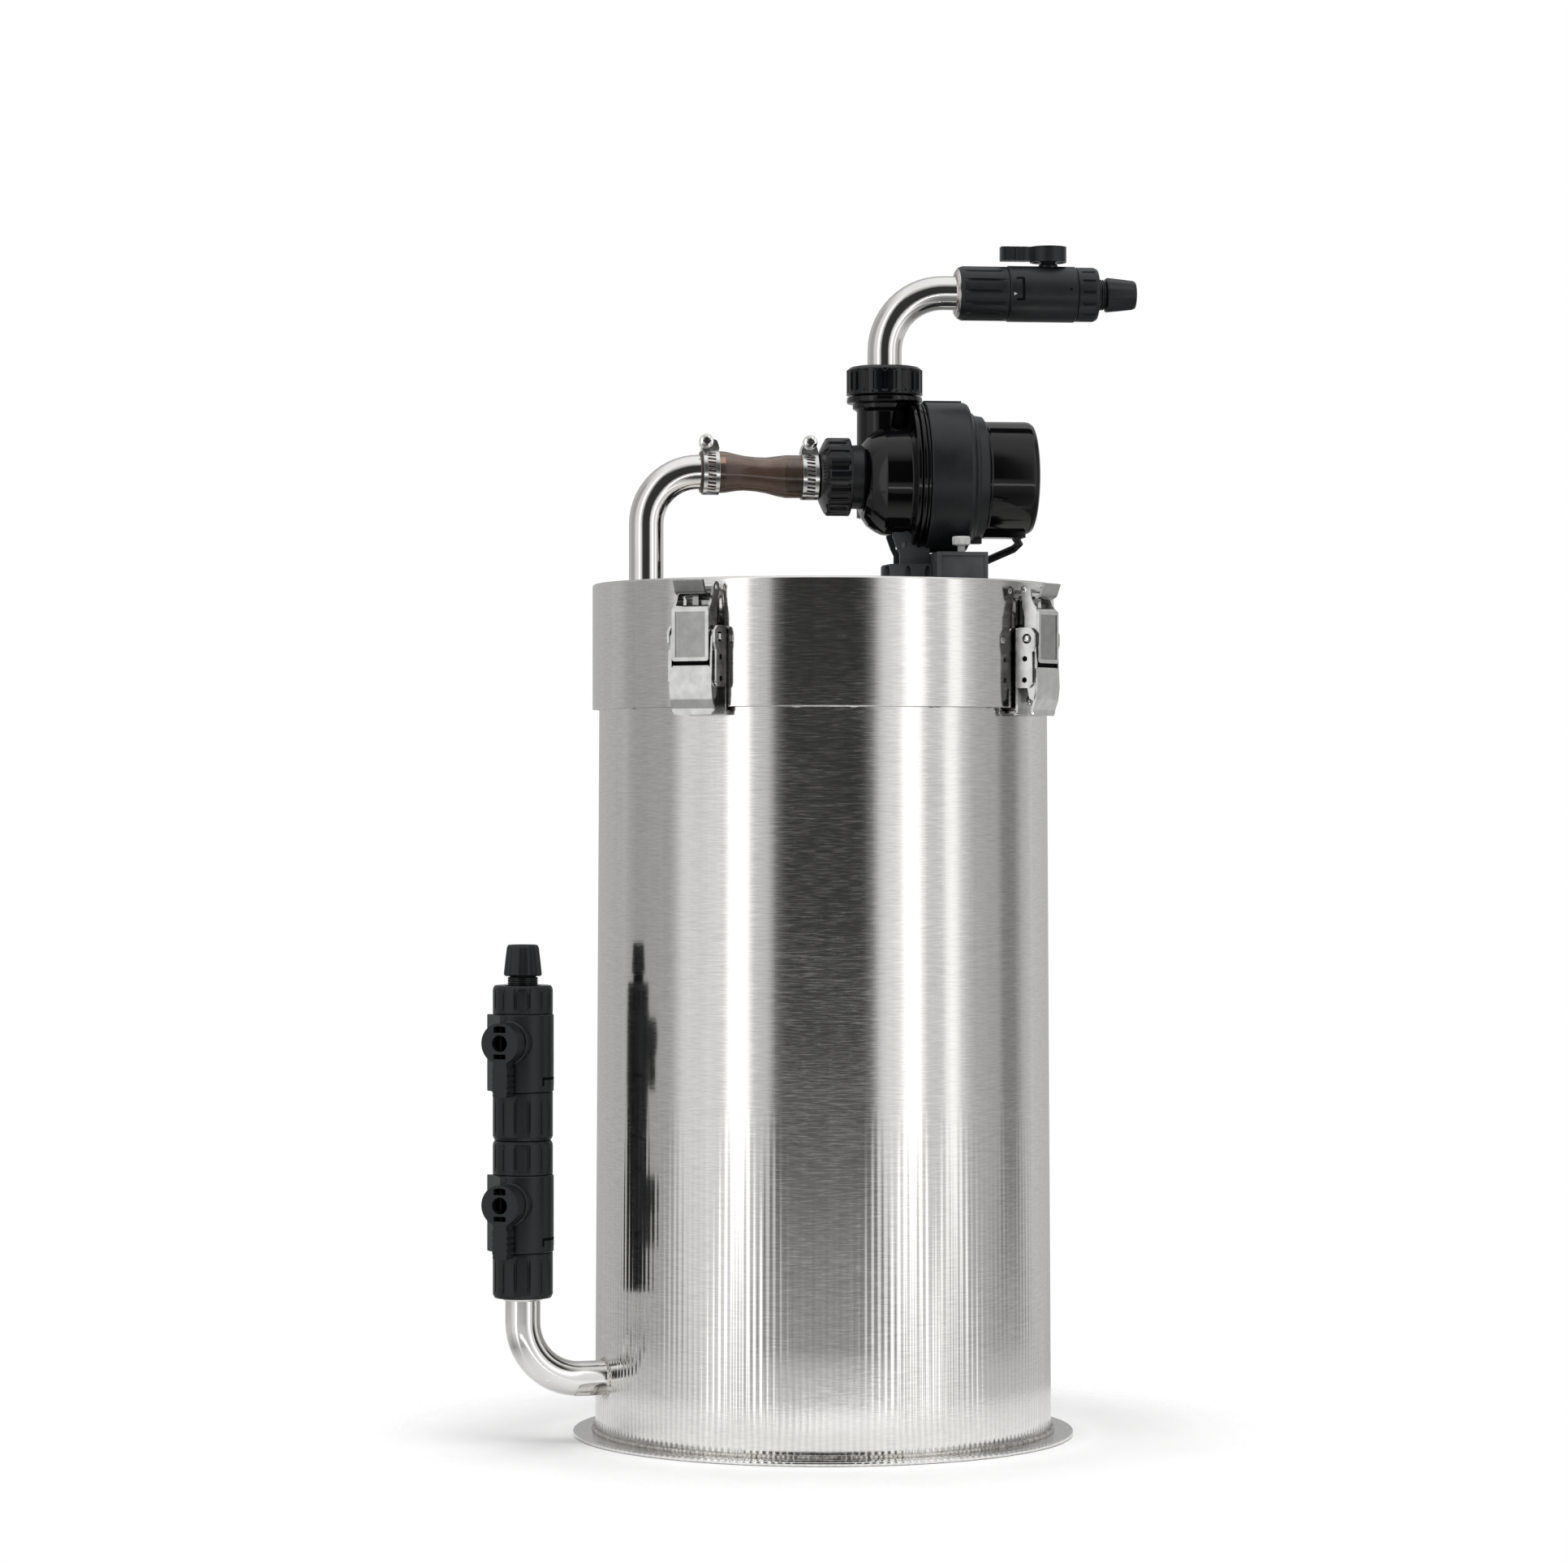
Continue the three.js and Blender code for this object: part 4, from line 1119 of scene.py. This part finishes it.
def make_tap(name, at, size, lengths, knob, arm, body, clip, padded, nozzle):
    """One tap. Its lengths are its collar's, its body's and its last collar's."""
    collar, main, last = lengths
    handle = f"{name}_handle"
    z1 = collar + GAP
    z2 = z1 + main + GAP

    def part(part_name, shapes, material, body, node=None, bevel=0.0):
        piece(f"{name}_{part_name}", shapes, material, body, node, at, bevel)

    part("sleeve", [tap_collar(size, 0, collar)], MATTE, body, f"{name}_collar")
    part("case", tap_body(size, z1, z1 + main, knob, padded), MATTE, body, f"{name}_body")
    # Painted shade: dead black rings in the gaps between the tap's parts, and the clip's slot.
    seam_shade = [turned(rect(9, 16.1 * size, z - 0.7, z + 0.4), 64, 0) for z in (z1, z2)]
    part("clip", [*slot_shade(size, z1, clip), *seam_shade], SHADE_BLACK, body)
    part("lever", tap_handle(size, knob, arm), MATTE, handle, handle, 0.35)
    # Painted shade behind the knob's windows.
    part("window_shade", knob_shade(size, knob), SHADE_BLACK, handle)
    neck, cap = hose_end(size, z2 + last) if nozzle else ([], None)
    part("ring", [tap_collar(size, z2, z2 + last, True), *neck], MATTE, body, f"{name}_end_collar")
    if nozzle:
        part("nut", [cap], MATTE, body, f"{name}_hose_nut")


def make_taps():
    make_tap("lower_tap", LOWER_TAP, 1.0, (24.7, 41.8, 18.2), 51.7, 29, "barrel", 66, True, False)
    make_tap("upper_tap", UPPER_TAP, 1.0, (26, 42, 15.2), 53.4, 29, "barrel", 66, True, True)
    make_tap("outlet_tap", OUTLET_TAP, 0.93, (27.4, 38.5, 12), 51.3, 27, "lid", 58.3, False, True)
    arrow = moved(
        plate([(-0.9, 0), (0.9, 0), (0, 1.9)], -0.5, 0.1, across="X"),
        OUTLET_TAP @ turn(94.8) @ place(15.66, 0, 29.4),
    )
    piece("outlet_tap_mark", [arrow], CLEAR, "lid")
    # Painted shade: a dead black pin that stands for the vent's hole.
    vent_shade = moved(rod(0.7, 14, 15.7, 0, 16), OUTLET_TAP @ turn(84) @ place(0, 0, 61.8) @ ALONG_X)
    piece("outlet_tap_vent_shade", [vent_shade], SHADE_BLACK, "lid")

    plain = turned([(9.2, -1.6), (10.4, -1.4), (11.4, -0.4), (11.2, 0.2), (9.2, 0.2)], 64, 0.4)
    rough = turned([(9.2, -0.7), (13.6, -0.6), (13.8, 0.4), (9.2, 0.4)], 96, 0.3)
    crumbs = bead(OUTLET_TAP, 11.6, 1.1, 26, 9.0, -0.4)
    piece("riser_ferrule", [plain], PIPE, "barrel", at=LOWER_TAP)
    piece("outlet_ferrule", [moved(rough, OUTLET_TAP), crumbs], WELD, "lid")


# ---- inside the barrel
def basket(z, name, node):
    """A slotted basket: upright bars between three hoops, on a floor of ribs and rings."""
    wall = turned(rect(113.4, 115, z, z + 9), 120, 0.4)
    hoops = [turned(rect(113.2, 115, z + a, z + b), 120, 0.5) for a, b in ((88, 94), (179, 190))]
    bars = [
        moved(plate(rect(-1.7, 1.7, z + 8, z + 180), 113.4, 114.8, across="X"), turn(360 * k / 72))
        for k in range(72)
    ]
    rings = [turned(rect(r, r + 3, z, z + 2.5), 96, 0.4) for r in (12, 34, 56, 78, 100)]
    spokes = [
        moved(block((13, 114), (-1.6, 1.6), (z + 0.2, z + 2.3), 0.3), turn(360 * k / 24))
        for k in range(24)
    ]
    piece(name, [wall, *hoops, *bars, *rings, *spokes], MATTE, "media", node)


def lumpy(z0, z1, radius, cell, swell, seed):
    """A heap of media: a drum whose skin rises and falls."""
    across_low = [(radius * k / 8, z0) for k in range(8)]
    wall = [(radius, z0 + (z1 - z0) * k / 20) for k in range(21)]
    points, faces = turned([*across_low, *wall, *[(r, z1) for r, _ in across_low[::-1]]], 96, 0)
    out = []
    for p in points:
        n = noise.noise(p / cell + Vector((seed, 0, 0)))
        inward = swell * (0.5 + 0.5 * n)
        flat = Vector((p.x, p.y, 0))
        if flat.length > radius * 0.9:
            shift = flat.normalized() * -inward
        else:
            shift = Vector((0, 0, -inward if p.z > (z0 + z1) / 2 else 0))
        out.append(p + shift)
    return out, faces


def make_media():
    basket(50.5, "low_basket", "lower_basket")
    basket(240.8, "high_basket", "upper_basket")

    piece(
        "ceramic_rings", [lumpy(53.4, 238.0, 112.6, 9, 4.0, 1)], CERAMIC, "media", "ceramic_media", sharp=60
    )
    pad = piece(
        "sponge_pad", [lumpy(243.7, 400.6, 112.4, 40, 2.0, 4)], SPONGE, "media", "sponge_media", sharp=60,
    )

    bow = [(37 * cos(a * DEG), 0, 416.8 + 37 * sin(a * DEG)) for a in range(30, 151, 8)]
    posts = [moved(rod(3.6, 401.5, 434, 0.4), place(x, 0, 0)) for x in (-32.4, 32.4)]
    strap = block((-75, 75), (-4, 4), (401.1, 404.1), 3.0)
    piece("bail", [swept(bow, 3.2, 0, 20), *posts, strap], MATTE, "media", "basket_handle", bevel=0.4)


def paint_hidden():
    """CAD nodes that stay as they are get a finished material."""
    for node, material in (("stator", COPPER), ("impeller", NUT), ("lid_gasket", RUBBER)):
        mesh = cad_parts[node].data
        mesh.materials.clear()
        mesh.materials.append(material)


make_barrel()
make_lid()
for which, angle in LATCHES.items():
    make_latch(which, angle)
make_hose()
make_pump()
make_foot()
make_taps()
make_media()
paint_hidden()


# ---- stage and light
def make_stage():
    """A thin pale disc that fades out into the white studio."""
    p = Paint("floor", (0.84, 0.84, 0.84), 0.6)
    p.shade(p.noise(120, 3), 0.3, 0.7, 0.01)
    p.rough(p.noise(60, 3), 0.3, 0.7, 0.55, 0.7)
    floor = added("floor", mesh_of("floor", turned(rect(0, 280, -0.4, -0.05), 96, 0)))
    floor.data.materials.append(p.material)
    clear = p.node("BsdfTransparent").outputs[0]
    reach = p.node("VectorMath", {0: p.where}, operation="LENGTH").outputs["Value"]
    fade = p.node("MixShader", {0: p.ranged(reach, 0.15, 0.27), 1: p.shader.outputs[0], 2: clear})
    p.put(fade.outputs[0], p.tree.nodes["Material Output"].inputs["Surface"])


# The studio round the filter: how bright its panels, gaps and strip lights are, by azimuth from the
# front in degrees, positive on the +X side.
STUDIO = [
    (-180, 0.46), (-150, 0.50), (-122, 0.52), (-112, 0.40), (-84, 0.42), (-76, 0.78), (-52, 0.86),
    (-48, 1.55), (-39, 1.55), (-36, 0.72), (-28, 0.62), (-24, 0.16), (-19, 0.04), (19, 0.035), (24, 0.17),
    (29, 0.78), (38, 0.92), (42, 1.55), (49, 1.5), (53, 0.74), (62, 0.76), (66, 1.3), (70, 1.25),
    (75, 0.72), (83, 0.50), (100, 0.44), (104, 0.26), (114, 0.26), (121, 0.5), (132, 0.64), (150, 0.55),
    (180, 0.46),
]
WHITE = (1, 1, 1, 1)


def make_light():
    """Panels all round by azimuth, white above, and white where the camera sees past the filter."""
    world = bpy.data.worlds.new("studio")
    bpy.context.scene.world = world
    world.use_nodes = True
    w = Nodes(world.node_tree)
    w.tree.nodes.clear()

    axes = w.node("SeparateXYZ", {0: w.node("TexCoord").outputs["Generated"]}).outputs
    azimuth = w.math("ARCTAN2", axes[0], w.math("MULTIPLY", axes[1], -1.0))
    ramp = w.node("ValToRGB", {0: w.ranged(azimuth, -pi, pi)})
    stops = ramp.color_ramp.elements
    while len(stops) > 1:
        stops.remove(stops[-1])
    for i, (degrees, value) in enumerate(STUDIO):
        share = (degrees + 180) / 360
        stop = stops[0] if i == 0 else stops.new(share)
        stop.position = share
        stop.color = (value, value, value, 1)
    sides = w.mixed(w.ranged(axes[2], 0.62, 0.9), ramp.outputs[0], WHITE)

    def pulse(value, middle, half):
        """1 near that middle, and 0 from half on."""
        off = w.math("ABSOLUTE", w.math("SUBTRACT", value, middle))
        return w.ranged(off, half, half * 0.6)

    # Two low strip lights in front draw the thin bright lines along the pump. The upper one is dimmer.
    upper = w.math("MULTIPLY", pulse(axes[2], -0.275, 0.034), 0.35)
    strips = w.math("ADD", upper, pulse(axes[2], -0.885, 0.02))
    strips = w.math("MULTIPLY", strips, pulse(azimuth, 0.15, 0.6))
    # A pale table shows in the barrel's lower part, and it is dimmer straight below.
    table = w.ranged(axes[2], -0.05, -0.14, 0.0, 0.62)
    below = w.ranged(axes[2], -0.6, -0.25, 0.32, 1.0)
    strength = w.node("Math", {0: strips, 1: 9.0, 2: below}, operation="MULTIPLY_ADD").outputs[0]
    round_about = w.node("VectorMath", {0: sides, 1: table}, operation="MAXIMUM").outputs[0]
    soft = w.node("Background", {"Color": w.mixed(strips, round_about, WHITE), "Strength": strength})
    plain = w.node("Background", {"Color": WHITE, "Strength": 1.0})
    seen = w.node("LightPath").outputs["Is Camera Ray"]
    both = w.node("MixShader", {0: seen, 1: soft.outputs[0], 2: plain.outputs[0]})
    w.put(both.outputs[0], w.node("OutputWorld").inputs["Surface"])

    data = bpy.data.lights.new("overhead", "AREA")
    data.shape = "DISK"
    data.size = 2.6
    data.energy = 85
    lamp = added("overhead", data)
    lamp.location = (0, -0.4, 2.9)
    lamp.visible_glossy = False


make_stage()
make_light()
bpy.context.scene.view_settings.view_transform = "Standard"
